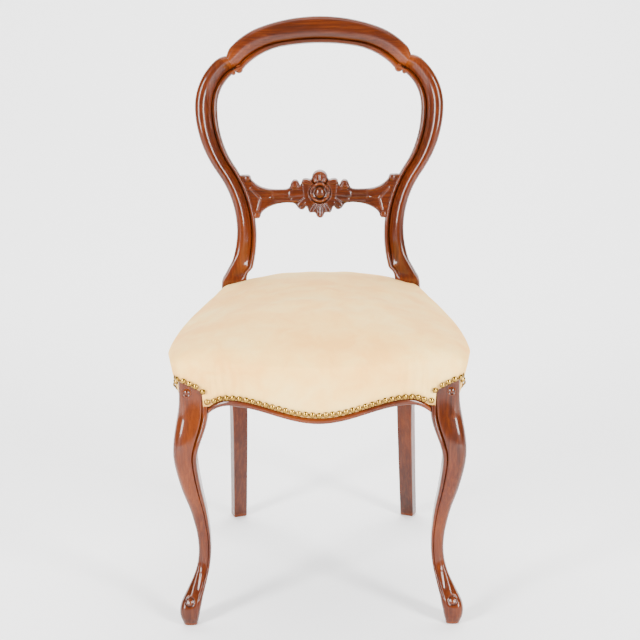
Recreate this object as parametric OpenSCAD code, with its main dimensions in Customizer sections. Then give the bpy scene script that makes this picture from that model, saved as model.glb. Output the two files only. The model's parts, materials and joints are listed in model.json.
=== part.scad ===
// Balloon back dining chair with a sprung, stuffed-over seat on cabriole front legs.
// The chair faces -Y, +Z is up, and the origin is on the floor under the middle of its outline.
// Left and right are as seen from the front. Right-hand pieces are drawn and mirrored.

/* [Overall] */
// Height of the crest rail above the floor
chair_h = 900; // [885:5:930]
// Depth from the front of the seat to the heels of the rear feet
chair_d = 510; // [495:5:540]
// Width over the posts of the front legs
front_w = 428; // [418:2:440]
// Width over the rear legs where the seat meets them
rear_w = 338; // [330:2:350]
// Height of the tops of the seat rails
rail_top_h = 415; // [408:1:424]
// Height of the section of the side and rear rails
rail_h = 57; // [54:1:60]

/* [Back] */
// Outer width of the balloon at its widest
balloon_w = 420; // [404:2:436]
// Drop from the top of the crest rail to the balloon's widest part, as a share of the back's height
balloon_drop_share = 0.305; // [0.29:0.005:0.32]
// Outer width of the back at its waist
waist_w = 284; // [272:2:296]
// Height of the waist above the rails, as a share of the back's height
waist_share = 0.26; // [0.24:0.005:0.28]
// Width of the stiles at the waist
stile_w = 33; // [30:1:36]
// Width of the stiles at the widest part of the balloon
stile_bulge_w = 38; // [34:1:42]
// Thickness of the back from front to rear
back_t = 25; // [22:1:28]
// Radius of the stile below the widest part, as a share of the height from the waist to there
bulge_share = 0.877; // [0.83:0.001:0.92]
// Radius of the stile above the widest part, as a share of the drop from the crest to there
crown_share = 0.575; // [0.53:0.005:0.62]
// Height of the crest rail's section at its middle
crest_w = 45; // [40:1:50]
// Distance that the back leans to the rear between the seat and its top
rake = 56; // [40:1:60]
// Hollow of the back across its width, at the top
back_bow = 10; // [4:1:14]
// Height of the centre of the carved cross rail above the rails, as a share of the back's height
cross_share = 0.398; // [0.38:0.002:0.416]
// Height of the plain part of the cross rail's section
cross_bar_w = 23; // [20:1:26]
// Thickness of the cross rail
cross_t = 16; // [14:1:19]

/* [Front legs] */
// Width of the square post at the top of each front leg
post_w = 44; // [42:1:47]
// Width of the leg at the knee
knee_w = 38; // [35:1:41]
// Distance that the leg sweeps in between its knee and its ankle
cabriole_sweep = 25; // [20:1:30]

/* [Rear legs] */
// Width of the rear foot
heel_w = 24; // [22:1:28]
// Depth of the rear foot
heel_t = 21; // [19:1:25]
// Distance that the rear foot stands behind the seat joint
heel_setback = 66; // [55:1:75]
// Distance that the rear foot stands outside the seat joint
heel_splay = 6; // [2:1:10]
// Turn of the rear leg's section below the seat, in degrees
heel_turn = 22; // [14:1:26]
// Width of the rear leg where the seat meets it
hip_w = 42; // [40:1:44]
// Depth of the rear leg where the seat meets it
hip_t = 30; // [28:1:32]

/* [Seat frame] */
// Thickness of the seat rails
rail_t = 26; // [24:1:28]
// Bow of the front rail in plan
rail_bow = 24; // [16:1:28]
// Bow of the side rails in plan
side_bow = 6; // [3:1:8]
// Height of the front rail's section at the lowest point of its serpentine
apron_h = 74; // [70:1:79]
// Rise of the serpentine from its middle to its shoulders
serpentine_rise = 25; // [18:1:28]
// Distance of the serpentine's shoulders from the posts
shoulder_in = 35; // [30:1:45]
// Height of the bead along the serpentine
bead_h = 9; // [7:1:10]
// Distance that the bead stands proud of the rail
bead_proud = 3; // [2:0.5:4]
// Height of the webbing batten behind the front rail
batten_h = 16; // [14:1:18]

/* [Upholstery] */
// Height of the crown of the seat above the rails
crown_rise = 73; // [67:1:79]
// Height of the fullest part of the seat's side above the rails
girth_rise = 15; // [12:1:19]
// Swell of the seat past the front rail
front_swell = 7; // [4:1:9]
// Swell of the seat past the side rails near the front
side_swell = 18; // [14:1:20]
// Thickness of the seat cover
cover_t = 1.6; // [1.2:0.1:2]
// Width of the webbing
web_w = 50; // [44:1:54]
// Thickness of the webbing
web_t = 1.6; // [1.4:0.1:1.8]
// Radius of a spring's end coils
spring_r = 38; // [34:1:40]
// Radius of a spring's waist
spring_waist_r = 24; // [20:1:28]
// Diameter of the spring wire
spring_wire_d = 3.6; // [3:0.1:4]
// Depth of the lashing and the padding over the springs, at the crown of the seat
pad_depth = 50; // [47:1:56]

/* [Nails] */
// Diameter of the domed nail heads
nail_d = 9.4; // [8:0.2:9.8]
// Height of the domed nail heads
nail_h = 3.2; // [2.6:0.1:3.6]
// Space between neighbouring nail heads
nail_space = 0.9; // [0.6:0.1:3]

/* [Joints] */
// Diameter of the dowels between the stiles and the crest rail
dowel_d = 8; // [7:0.5:9]
// Length of the dowels
dowel_l = 44; // [36:1:50]
// Thickness of the tenons
tenon_t = 12; // [10:1:13]
// Height of the rail tenons
tenon_h = 40; // [34:1:44]
// Length of the rail tenons
tenon_l = 16; // [14:1:17]
// Clearance round tenons and dowels, and at their shoulders
fit_gap = 0.2; // [0.1:0.05:0.3]

/* [Hidden] */

// Colours of the finishes
mahogany = "#8b3a14";
beech = "#c9a06c";
jute = "#b08b57";
cream = "#f6deb8";
brass = "#8e6b2b";
steel = "#7d7f82";
black_cloth = "#1d1b1a";

// Overrun of every cut past the face that it opens
overrun = 1;
// Height of the seam between the seat and the flare at the foot of each stile
hip_rise = 43;
hip_h = rail_top_h + hip_rise;
// Heights that follow the rails' and the crest's
rail_under_h = rail_top_h - rail_h;
serpentine_low_h = rail_top_h - apron_h;
crown_h = rail_top_h + crown_rise;
girth_h = rail_top_h + girth_rise;
back_h = chair_h - rail_top_h;
waist_h = rail_top_h + back_h * waist_share;
cross_h = rail_top_h + back_h * cross_share;
balloon_drop = back_h * balloon_drop_share;
nail_pitch = nail_d + nail_space;
// Gap between the cover and the frame that it is drawn over
cover_gap = 0.4;
// Gap between soft layers that lie on one another
layer_gap = 0.4;

// Places in plan
rail_face_y = -chair_d / 2 + front_swell + cover_t + cover_gap;
post_face_y = rail_face_y + rail_bow;
post_face_x = front_w / 2;
post_inner_x = post_face_x - post_w;
post_back_y = post_face_y + post_w;
post_x = post_face_x - post_w / 2;
post_y = post_face_y + post_w / 2;
shoulder_x = post_inner_x - shoulder_in;
heel_reach = heel_w / 2 * sin(heel_turn) + heel_t / 2 * cos(heel_turn);
heel_y = chair_d / 2 - heel_reach;
hip_y = heel_y - heel_setback;
hip_x = (rear_w - hip_w) / 2;
hip_front_y = hip_y - hip_t / 2;
hip_back_y = hip_y + hip_t / 2;
hip_inner_x = hip_x - hip_w / 2;
seat_mid_y = (rail_face_y + hip_back_y) / 2;

// Blends

function mix(a, b, s) = a + (b - a) * s;
function ease(s) = let (t = min(1, max(0, s))) t * t * (3 - 2 * t);
function unit(v) = v / norm(v);
function backwards(rows) = [for (i = [len(rows) - 1:-1:0]) rows[i]];

// Value of a smooth curve through the rows of a table at the key k, by cubic pieces
function row_at(table, k, i = 0) =
    i >= len(table) - 2 || k <= table[i + 1][0] ? i : row_at(table, k, i + 1);
function slope_at(table, i, c) =
    let (a = max(0, i - 1), b = min(len(table) - 1, i + 1))
    (table[b][c] - table[a][c]) / (table[b][0] - table[a][0]);
function smooth(table, k, c = 1) =
    let (
        i = row_at(table, k),
        span = table[i + 1][0] - table[i][0],
        s = min(1, max(0, (k - table[i][0]) / span)),
        a = table[i][c], b = table[i + 1][c],
        ma = slope_at(table, i, c) * span, mb = slope_at(table, i + 1, c) * span
    )
    a * (1 + 2 * s) * pow(1 - s, 2) + ma * s * pow(1 - s, 2)
    + b * s * s * (3 - 2 * s) - mb * s * s * (1 - s);

// A solid through closed rings of equal count, each clockwise seen from the last ring's side, whose
// ends are fans round their middles
function middle(ring) = [for (c = [0:2]) sum([for (p = ring) p[c]]) / len(ring)];
function sum(list, i = 0) = i == len(list) ? 0 : list[i] + sum(list, i + 1);
module loft(rings) {
    n = len(rings[0]);
    last = (len(rings) - 1) * n;
    ends = [
        for (i = [0:n - 1])
            let (j = (i + 1) % n) each [[last + n, j, i], [last + n + 1, last + i, last + j]]
    ];
    sides = [
        for (j = [0:len(rings) - 2], i = [0:n - 1])
            let (a = j * n + i, b = j * n + (i + 1) % n)
            each [[a, b, b + n], [a, b + n, a + n]]
    ];
    polyhedron(
        points = concat([for (r = rings) each r], [middle(rings[0]), middle(rings[len(rings) - 1])]),
        faces = concat(ends, sides),
        convexity = 8
    );
}

// Back: a bent, leaning surface that carries the stiles, the crest rail and the cross rail

// Share of the lean that is straight, the rest curving back with height
straight_lean_share = 0.37;
half_balloon = balloon_w / 2;

function back_rise(z) = max(0, (z - hip_h) / (chair_h - hip_h));
function back_y(x, z) =
    let (u = back_rise(z))
    hip_y + rake * (straight_lean_share * u + (1 - straight_lean_share) * u * u)
    + back_bow * u * (1 - pow(x / half_balloon, 2));
function back_lean(x, z) =
    let (u = back_rise(z), run = chair_h - hip_h)
    [0, (rake * (straight_lean_share + 2 * (1 - straight_lean_share) * u)
        + back_bow * (1 - pow(x / half_balloon, 2))) / run, 1];
function back_across(x, z) = unit([1, -2 * back_bow * back_rise(z) * x / pow(half_balloon, 2), 0]);
function back_depth(x, z) = unit(cross(back_lean(x, z), back_across(x, z)));
function back_up(x, z) = cross(back_across(x, z), back_depth(x, z));
function back_point(x, z) = [x, back_y(x, z), z];

// Places children with x across, y up and z to the front of the back's surface
module on_back(x, z) {
    a = back_across(x, z);
    u = back_up(x, z);
    d = back_depth(x, z);
    p = back_point(x, z);
    multmatrix([
        [a[0], u[0], -d[0], p[0]],
        [a[1], u[1], -d[1], p[1]],
        [a[2], u[2], -d[2], p[2]],
        [0, 0, 0, 1]
    ]) children();
}

// Section of a rail of the back: shares of its width from the outer edge, and of its thickness
// from the front. The stile has a roll, a cove, a groove and a bead; the crest a broad round.
stile_profile_shares = [
    [0, 0.5], [0.02, 0.26], [0.09, 0.08], [0.22, 0], [0.34, 0.06], [0.42, 0.2],
    [0.5, 0.31], [0.62, 0.35], [0.74, 0.3], [0.82, 0.28], [0.85, 0.15], [0.92, 0.08],
    [0.98, 0.15], [1, 0.32], [1, 0.86], [0.93, 1], [0.08, 1], [0, 0.86]
];
crest_profile_shares = [
    [0, 0.5], [0.01, 0.28], [0.06, 0.12], [0.18, 0.02], [0.34, 0], [0.5, 0.03],
    [0.62, 0.09], [0.72, 0.17], [0.8, 0.25], [0.85, 0.27], [0.87, 0.17], [0.93, 0.12],
    [0.98, 0.18], [1, 0.32], [1, 0.86], [0.93, 1], [0.08, 1], [0, 0.86]
];
plain_profile_shares = [
    [0, 0.5], [0, 0.25], [0, 0.08], [0.06, 0], [0.2, 0], [0.4, 0],
    [0.5, 0], [0.6, 0], [0.7, 0], [0.78, 0], [0.84, 0], [0.93, 0],
    [1, 0.08], [1, 0.4], [1, 0.93], [0.93, 1], [0.07, 1], [0, 0.93]
];
function blend_profile(a, b, s) = [for (i = [0:len(a) - 1]) mix(a[i], b[i], s)];

// One ring of a section: centre, outward and rearward directions, width, thickness
function section(c, out, back, w, t, profile) =
    [for (p = profile) c + out * ((0.5 - p[0]) * w) + back * ((p[1] - 0.5) * t)];
function back_ring(x, z, nx, nz, w, t, profile) =
    section(back_point(x, z), nx * back_across(x, z) + nz * back_up(x, z), back_depth(x, z), w, t, profile);

// Centre line of a stile in elevation: waist arc, bulge arc and crown arc, each tangent to the next
waist_x = (waist_w - stile_w) / 2;
bulge_x = (balloon_w - stile_bulge_w) / 2;
bulge_h = chair_h - balloon_drop;
bulge_r = (bulge_h - waist_h) * bulge_share;
crown_r = balloon_drop * crown_share;
bulge_reach = waist_x - (bulge_x - bulge_r);
waist_r = (pow(bulge_reach, 2) + pow(bulge_h - waist_h, 2) - pow(bulge_r, 2)) / (2 * (bulge_r - bulge_reach));
turn_angle = atan2(bulge_h - waist_h, bulge_reach + waist_r);
crown_angle = 59;
flare_rise = 28;
flare_h = hip_h + flare_rise;
flare_angle = asin((waist_h - flare_h) / waist_r);

function waist_arc(a) = [waist_x + waist_r * (1 - cos(a)), waist_h + waist_r * sin(a), cos(a), -sin(a)];
function bulge_arc(a) = [bulge_x - bulge_r * (1 - cos(a)), bulge_h - bulge_r * sin(a), cos(a), -sin(a)];
function crown_arc(a) = [bulge_x - crown_r * (1 - cos(a)), bulge_h + crown_r * sin(a), cos(a), sin(a)];
joint = crown_arc(crown_angle);

// Width of the stile along its three arcs: 0 at the flare, 1 and 2 where the arcs meet, 3 at the crest
neck_in = 2;
foot_out = 4;
neck_w = stile_w - neck_in;
flare_w = stile_w + foot_out;
// Where the inner edge of a stile stands at a height between its waist and the widest part
function stile_inner_x(z) =
    let (r = waist_r + neck_w / 2, rise = z - waist_h)
    rise < r * sin(turn_angle) ? waist_x + waist_r - sqrt(pow(r, 2) - pow(rise, 2))
    : bulge_x - bulge_r + sqrt(pow(bulge_r - neck_w / 2, 2) - pow(bulge_h - z, 2));
stile_widths = [
    [0, flare_w], [0.4, stile_w], [1, neck_w], [1.5, mix(neck_w, stile_bulge_w, 0.6)],
    [2, stile_bulge_w], [3, stile_bulge_w - neck_in]
];
flare_ring = [mix(hip_x, waist_x, 0.18), hip_h + flare_rise * 0.43];
stile_line = [
    for (i = [0:9]) let (s = i / 9) concat(waist_arc(mix(-flare_angle, turn_angle, s)), s),
    for (i = [1:7]) let (s = i / 7) concat(bulge_arc(turn_angle * (1 - s)), 1 + s),
    for (i = [1:6]) let (s = i / 6) concat(crown_arc(crown_angle * s), 2 + s)
];

function stile_rings(grow, moulded = 1) = concat(
    [back_ring(flare_ring[0], flare_ring[1], 1, 0, mix(hip_w, flare_w, 0.7) + 2 * grow,
        mix(hip_t, back_t, 0.5) + 2 * grow, plain_profile_shares)],
    [
        for (p = stile_line)
            back_ring(p[0], p[1], p[2], p[3], smooth(stile_widths, p[4]) + 2 * grow, back_t + 2 * grow,
                blend_profile(plain_profile_shares, stile_profile_shares, moulded * ease(p[4] * 4 + 0.2)))
    ]
);

// Rear leg below the stile: shares of the seat joint's height, of the setback and splay, and how far
// its width and its turn have come from the foot's to the hip's
rear_leg_shares = [
    [0, 1, 1, 0, 1], [0.13, 0.8, 0.66, 0.04, 1], [0.26, 0.61, 0.36, 0.09, 1], [0.38, 0.44, 0.1, 0.13, 1],
    [0.5, 0.29, -0.1, 0.2, 0.85], [0.6, 0.18, -0.18, 0.32, 0.5], [0.69, 0.1, -0.14, 0.55, 0.2],
    [0.77, 0.04, -0.04, 0.9, 0], [0.88, 0, 0, 1, 0], [1, 0, 0, 1, 0]
];

function rear_leg_rings(grow) = [
    for (r = rear_leg_shares)
        let (a = heel_turn * r[4])
        section(
            [hip_x + heel_splay * r[2], hip_y + heel_setback * r[1], hip_h * r[0]],
            [cos(a), -sin(a), 0], [sin(a), cos(a), 0],
            mix(heel_w, hip_w, r[3]) + 2 * grow, mix(heel_t, hip_t, r[3]) + 2 * grow, plain_profile_shares
        )
];

module rear_leg_blank(grow = 0) {
    loft(concat(rear_leg_rings(grow), stile_rings(grow)));
}

// Small scrolls that end the beads beside the joint with the crest rail: on the stile's side s is
// -1, on the crest's side 1
stile_scroll_r = 4;
crest_scroll_r = 6;
scroll_l = 15;
scroll_sink_share = 0.3;
joint_w = smooth(stile_widths, 3);

module bead_scroll(s, r) {
    out = [joint[2], joint[3]];
    along = [-joint[3], joint[2]];
    at = along * s * (r + fit_gap) - out * (joint_w / 2 - r * scroll_sink_share);
    on_back(joint[0], joint[1]) translate([at[0], at[1], -back_t / 5])
        cylinder(r = r, h = scroll_l, $fn = 24);
}

// Dowels across the joint of a stile and the crest rail, longer and wider by a gap for their bores
dowel_spacing = joint_w * 0.35;
dowel_shift = joint_w * 0.035;
module joint_dowels(gap) {
    on_back(joint[0], joint[1]) rotate([0, 0, crown_angle])
        for (s = [-1, 1])
            translate([s * dowel_spacing / 2 + dowel_shift, 0, -back_t / 8]) rotate([-90, 0, 0])
                cylinder(d = dowel_d + 2 * gap, h = dowel_l + 2 * gap, center = true, $fn = 32);
}

// Crest rail: arcs of its outer edge, and of its inner edge, from the middle to its shoulder, as
// shares of the balloon's width and flattened to its drop
crest_outer_r = balloon_w * 0.7143;
crest_shoulder_r = balloon_w * 0.2905;
crest_outer_x = balloon_w * 0.2381;
crest_end_x = joint[0] + joint_w / 36;
crest_inner_r = balloon_w * 0.9048;
crest_haunch_r = balloon_w * 0.2857;
crest_inner_x = balloon_w / 7;
crest_inner_end_x = joint[0] * 0.86;
crest_flatness = balloon_drop / (balloon_w * 0.3522);

function arch(x, top, r, x_turn, r_turn) =
    let (a = asin(x_turn / r), dx = x - (r - r_turn) * sin(a))
    top - crest_flatness * (x <= x_turn ? r - sqrt(r * r - x * x)
        : r - (r - r_turn) * cos(a) - sqrt(r_turn * r_turn - dx * dx));
function crest_outer(s) =
    let (x = crest_end_x * s) [x, arch(x, chair_h, crest_outer_r, crest_outer_x, crest_shoulder_r)];
function crest_inner(s) =
    let (x = crest_inner_end_x * s)
    [x, arch(x, chair_h - crest_w, crest_inner_r, crest_inner_x, crest_haunch_r)];
function crest_ring(s, side) =
    let (
        o = crest_outer(s), i = crest_inner(s), c = (o + i) / 2, n = unit(o - i),
        t = back_t * mix(1, 0.97, ease(s))
    )
    back_ring(side * c[0], c[1], side * n[0], n[1], norm(o - i), t,
        blend_profile(crest_profile_shares, stile_profile_shares, ease(s * 1.5 - 0.5)));

// The ring where the crest rail meets a stile, stepped along the joint by a gap and notched outside
crest_notch = 4;
crest_relief = 1;
function crest_end_ring(side, step) =
    let (
        x = joint[0] - joint[3] * step - joint[2] * crest_notch / 2,
        z = joint[1] + joint[2] * step - joint[3] * crest_notch / 2
    )
    back_ring(side * x, z, side * joint[2], joint[3], joint_w - crest_notch, back_t - crest_relief,
        stile_profile_shares);

crest_steps = 10;
crest_rings = concat(
    [crest_end_ring(1, fit_gap)],
    [for (i = [crest_steps:-1:0]) crest_ring(i / crest_steps, 1)],
    [for (i = [1:crest_steps]) crest_ring(i / crest_steps, -1)],
    [crest_end_ring(-1, fit_gap)]
);

module crest_rail() {
    color(mahogany) difference() {
        union() {
            loft(crest_rings);
            for (side = [0, 1]) mirror([side, 0, 0]) bead_scroll(1, crest_scroll_r);
        }
        for (side = [0, 1]) mirror([side, 0, 0]) joint_dowels(fit_gap);
    }
}

module crest_dowels() {
    color(beech) for (side = [0, 1]) mirror([side, 0, 0]) joint_dowels(0);
}

// Cross rail: a bar that flares to the stiles, and a carved cartouche at its middle

bar_centre_h = -6;
bar_into = 16;
bar_end_x = stile_inner_x(cross_h) + bar_into;
knob_r = 5.5;
upper_knob_in = 3.5;
upper_knob_h = 25;
knob_root_h = 12;
upper_knob_x = stile_inner_x(cross_h + knob_root_h) - upper_knob_in;
lower_knob_in = 5.5;
lower_knob_h = -38.5;
lower_knob_x = stile_inner_x(cross_h + lower_knob_h) - lower_knob_in;
bar_low_end_x = stile_inner_x(cross_h + lower_knob_h) + bar_into;
upper_flare_w = 47.5;
upper_flare_x = upper_knob_x - upper_flare_w;
lower_flare_w = 51.5;
lower_flare_x = lower_knob_x - lower_flare_w;
upper_flare_power = 2.6;
cross_tenon_h = 22;
cross_tenon_t = 8;
cross_tenon_in = 6;
cross_tenon_x = bar_end_x - cross_tenon_in;

// Height of an edge of the bar at x: level h, then flaring to the height end at the distance reach
function bar_edge(x, h, start, reach, end, power) =
    let (t = min(1, max(0, x - start) / (reach - start)))
    end - (end - h) * pow(1 - pow(t, power), 1 / power);
function bar_top(x) = bar_edge(x, bar_centre_h + cross_bar_w / 2, upper_flare_x, upper_knob_x - knob_r,
    upper_knob_h, upper_flare_power);
function bar_bottom(x) = bar_edge(x, bar_centre_h - cross_bar_w / 2, lower_flare_x, lower_knob_x - knob_r,
    lower_knob_h, 2);

// Points along an edge, closer together where it turns
bar_steps = 14;
function edge_xs(start, reach) = [for (i = [0:bar_steps]) mix(start, reach, sin(90 * i / bar_steps))];
bar_outline = concat(
    [[0, bar_top(0)]],
    [for (x = edge_xs(upper_flare_x, upper_knob_x - knob_r)) [x, bar_top(x)]],
    [
        [upper_knob_x, upper_knob_h], [upper_knob_x, upper_knob_h + knob_r],
        [bar_end_x, upper_knob_h + knob_r], [bar_end_x, 0], [bar_low_end_x, lower_knob_h - knob_r],
        [lower_knob_x, lower_knob_h - knob_r], [lower_knob_x, lower_knob_h]
    ],
    [for (x = backwards(edge_xs(lower_flare_x, lower_knob_x - knob_r))) [x, bar_bottom(x)]],
    [[0, bar_bottom(0)]]
);

// Sizes of the cartouche's lobes, leaves and boss
lobe_r = 13.5;
lobe_h = 24.5;
ear_x = 24.5;
ear_r = 7.5;
ear_h = 15.5;
body_w = 62;
body_top_h = 13;
leaf_x = 43.5;
leaf_r = 7.5;
leaf_h = 13.5;
low_leaf_x = 32;
low_leaf_r = 8.5;
low_leaf_h = -21;
skirt_top_w = 50;
skirt_w = 36;
skirt_h = -34.5;
tip_r = 6.5;
tip_h = -37.5;
boss_r = 8.6;
boss_h = 4.5;
boss_stretch = 1.14;
ring_r = 16.5;
ring_w = 2;
ring_depth = 1.4;
cartouche_proud = 3;

module cartouche_outline() {
    translate([0, lobe_h]) circle(r = lobe_r, $fn = 32);
    translate([0, tip_h]) circle(r = tip_r, $fn = 24);
    polygon([
        [-body_w / 2, body_top_h], [-skirt_top_w / 2, low_leaf_h], [-skirt_w / 2, skirt_h],
        [skirt_w / 2, skirt_h], [skirt_top_w / 2, low_leaf_h], [body_w / 2, body_top_h],
        [ear_x, ear_h + ear_r], [-ear_x, ear_h + ear_r]
    ]);
    for (s = [-1, 1]) {
        translate([s * ear_x, ear_h]) circle(r = ear_r, $fn = 24);
        translate([s * leaf_x, leaf_h]) circle(r = leaf_r, $fn = 24);
        translate([s * low_leaf_x, low_leaf_h]) circle(r = low_leaf_r, $fn = 24);
    }
    translate([-leaf_x, low_leaf_h]) square([2 * leaf_x, leaf_h - low_leaf_h]);
}

// Sunk panel on each flared end of the bar, with a border along both flares
panel_depth = 1.8;
panel_border = 5;
panel_w = 38.5;
panel_in_x = upper_knob_x - panel_w;
panel_out_x = lower_knob_x + knob_r * 0.1;
panel_top_x = upper_knob_x - knob_r * 0.64;
panel_top_h = 12;
panel_low_h = -31;
panel_steps = 8;
panel_xs = [for (i = [0:panel_steps]) mix(panel_in_x, panel_out_x, i / panel_steps)];
panel_outline = concat(
    [for (x = panel_xs) [x, bar_top(x) - panel_border]],
    [[panel_top_x, panel_top_h], [panel_out_x, panel_low_h]],
    [
        for (i = [panel_steps - 1:-1:0])
            let (x = panel_xs[i]) [x, max(panel_low_h, bar_bottom(x) + panel_border)]
    ]
);

module cross_rail_solid() {
    translate([0, 0, -cross_t / 2]) {
        difference() {
            linear_extrude(cross_t) {
                polygon(bar_outline);
                mirror([1, 0]) polygon(bar_outline);
                for (s = [-1, 1]) {
                    translate([s * upper_knob_x, upper_knob_h]) circle(r = knob_r, $fn = 24);
                    translate([s * lower_knob_x, lower_knob_h]) circle(r = knob_r, $fn = 24);
                }
            }
            for (s = [0, 1]) mirror([s, 0, 0]) translate([0, 0, cross_t - panel_depth])
                linear_extrude(panel_depth + overrun) polygon(panel_outline);
        }
        difference() {
            linear_extrude(cross_t + cartouche_proud) cartouche_outline();
            translate([0, 0, cross_t + cartouche_proud - ring_depth]) difference() {
                cylinder(r = ring_r, h = ring_depth + overrun, $fn = 40);
                translate([0, 0, -overrun]) cylinder(r = ring_r - ring_w, h = ring_depth + 3 * overrun, $fn = 40);
            }
        }
        translate([0, 0, cross_t + cartouche_proud]) scale([1, boss_stretch, 1]) rotate_extrude($fn = 32)
            polygon(concat([[0, -overrun], [boss_r, -overrun]],
                [for (a = [0:15:90]) [boss_r * cos(a), boss_h * sin(a)]]));
    }
}

module cross_tenons(gap) {
    for (s = [-1, 1]) on_back(0, cross_h)
        translate([s * cross_tenon_x / 2, bar_centre_h, 0])
            cube([cross_tenon_x + 2 * gap, cross_tenon_h + 2 * gap, cross_tenon_t + 2 * gap], center = true);
}

module cross_rail() {
    color(mahogany) {
        difference() {
            on_back(0, cross_h) cross_rail_solid();
            for (s = [0, 1]) mirror([s, 0, 0]) loft(stile_rings(fit_gap, 0));
        }
        cross_tenons(0);
    }
}

// Front rail: serpentine below, bowed in plan, with a bead along its lower edge

haunch_w = 52;
haunch_h = 60;

function serpentine(x) =
    x <= shoulder_x ? serpentine_low_h + serpentine_rise * (1 - cos(180 * x / shoulder_x)) / 2
    : serpentine_low_h + serpentine_rise
        - haunch_h * (1 - sqrt(1 - pow(min(1, (x - shoulder_x) / haunch_w), 2)));
function bow_y(x) = rail_face_y + rail_bow * pow(x / post_inner_x, 2);

rail_end_x = post_inner_x - fit_gap;
rail_steps = 32;
rail_xs = [for (i = [0:rail_steps]) rail_end_x * (2 * i / rail_steps - 1)];
bead_lift = 0.6;
bead_root = 2;
bead_shares = [[1, 0.08], [1, 0.92], [0.55, 1], [0.2, 0.86], [0, 0.62], [0, 0.34], [0.2, 0.12], [0.55, 0]];

function bead_ring(x) = [
    for (p = bead_shares)
        [x, bow_y(x) + mix(-bead_proud, bead_root, p[0]), serpentine(abs(x)) + bead_h * p[1]]
];

module front_rail_blank() {
    intersection() {
        translate([0, 0, serpentine_low_h - overrun]) linear_extrude(rail_top_h - serpentine_low_h + overrun)
            polygon(concat([for (x = rail_xs) [x, bow_y(x)]],
                [for (i = [rail_steps:-1:0]) [rail_xs[i], bow_y(rail_xs[i]) + rail_t]]));
        translate([0, post_face_y + rail_t + overrun, 0]) rotate([90, 0, 0])
            linear_extrude(rail_bow + rail_t + 2 * overrun)
                polygon(concat([for (x = rail_xs) [x, serpentine(abs(x)) + bead_lift]],
                    [[rail_end_x, rail_top_h], [-rail_end_x, rail_top_h]]));
    }
}

tenon_drop = 7;
tenon_set = 2;
tenon_mid_h = rail_top_h - tenon_drop - tenon_h / 2;
module front_tenons(gap) {
    for (s = [-1, 1])
        translate([s * (post_inner_x + (tenon_l - overrun) / 2), post_face_y + rail_t / 2 + 2 * fit_gap, tenon_mid_h])
            cube([tenon_l + overrun + 2 * gap, tenon_t + 2 * gap, tenon_h + 2 * gap], center = true);
}

module front_rail() {
    color(mahogany) difference() {
        union() {
            front_rail_blank();
            loft([for (i = [rail_steps:-1:0]) bead_ring(rail_xs[i])]);
            front_tenons(0);
        }
        for (s = [0, 1]) mirror([s, 0, 0]) front_screw(screw_gap);
    }
}

// Batten behind the front rail that gives the webbing a level edge
batten_over = 4;
batten_back_y = post_back_y + batten_over;
module webbing_batten() {
    xs = [for (i = [0:rail_steps]) let (w = rail_end_x - fit_gap) w * (2 * i / rail_steps - 1)];
    color(beech) translate([0, 0, rail_under_h]) linear_extrude(batten_h)
        polygon(concat([for (x = xs) [x, bow_y(x) + rail_t + fit_gap]],
            [[rail_end_x - fit_gap, batten_back_y], [-rail_end_x + fit_gap, batten_back_y]]));
}

// Side rails: between a front post and a rear leg, bowed outwards

side_front_y = post_back_y + fit_gap;
side_back_y = hip_front_y - fit_gap;
side_in = 1;
side_front_x = post_face_x - side_in;
side_back_x = rear_w / 2;
side_angle = atan2(side_front_x - side_back_x, side_back_y - side_front_y);

function side_x(y) =
    let (s = (y - side_front_y) / (side_back_y - side_front_y))
    mix(side_front_x, side_back_x, s) + side_bow * 4 * s * (1 - s);
side_steps = 12;
side_ys = [for (i = [0:side_steps]) mix(side_front_y, side_back_y, i / side_steps)];

module side_tenons(gap) {
    h = tenon_h + 2 * gap;
    for (end = [[side_front_x - tenon_set, side_front_y, -1], [side_back_x, side_back_y, 1]])
        translate([end[0] - rail_t / 2, end[1] + end[2] * (tenon_l - overrun) / 2, tenon_mid_h])
            cube([tenon_t + 2 * gap, tenon_l + overrun + 2 * gap, h], center = true);
}

module side_rail() {
    color(mahogany) difference() {
        union() {
            translate([0, 0, rail_under_h]) linear_extrude(rail_top_h - rail_under_h)
                polygon(concat([for (y = side_ys) [side_x(y), y]],
                    [for (i = [side_steps:-1:0]) [side_x(side_ys[i]) - rail_t, side_ys[i]]]));
            side_tenons(0);
        }
        side_screws(screw_gap);
    }
}
module side_rail_right() side_rail();
module side_rail_left() mirror([1, 0, 0]) side_rail();

// Rear rail

rear_rail_in = 2;
rear_rail_y = hip_back_y - rail_t - rear_rail_in;
module rear_tenons(gap) {
    for (s = [-1, 1])
        translate([s * (hip_inner_x + (tenon_l - overrun) / 2), rear_rail_y + rail_t / 2 + tenon_set, tenon_mid_h])
            cube([tenon_l + overrun + 2 * gap, tenon_t + 2 * gap, tenon_h + 2 * gap], center = true);
}
module rear_rail() {
    w = hip_inner_x - fit_gap;
    color(mahogany) difference() {
        union() {
            translate([-w, rear_rail_y, rail_under_h]) cube([2 * w, rail_t, rail_top_h - rail_under_h]);
            rear_tenons(0);
        }
        for (s = [0, 1]) mirror([s, 0, 0]) rear_screw(screw_gap);
    }
}

// Rear legs and their stiles, each one piece

module rear_leg() {
    color(mahogany) difference() {
        union() {
            rear_leg_blank();
            bead_scroll(-1, stile_scroll_r);
        }
        joint_dowels(fit_gap);
        cross_tenons(fit_gap);
        rear_tenons(fit_gap);
        side_tenons(fit_gap);
    }
}
module rear_leg_right() rear_leg();
module rear_leg_left() mirror([1, 0, 0]) rear_leg();

// Front legs: cabriole, sweeping out at the knee, in at the ankle and out again at the toe

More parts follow.
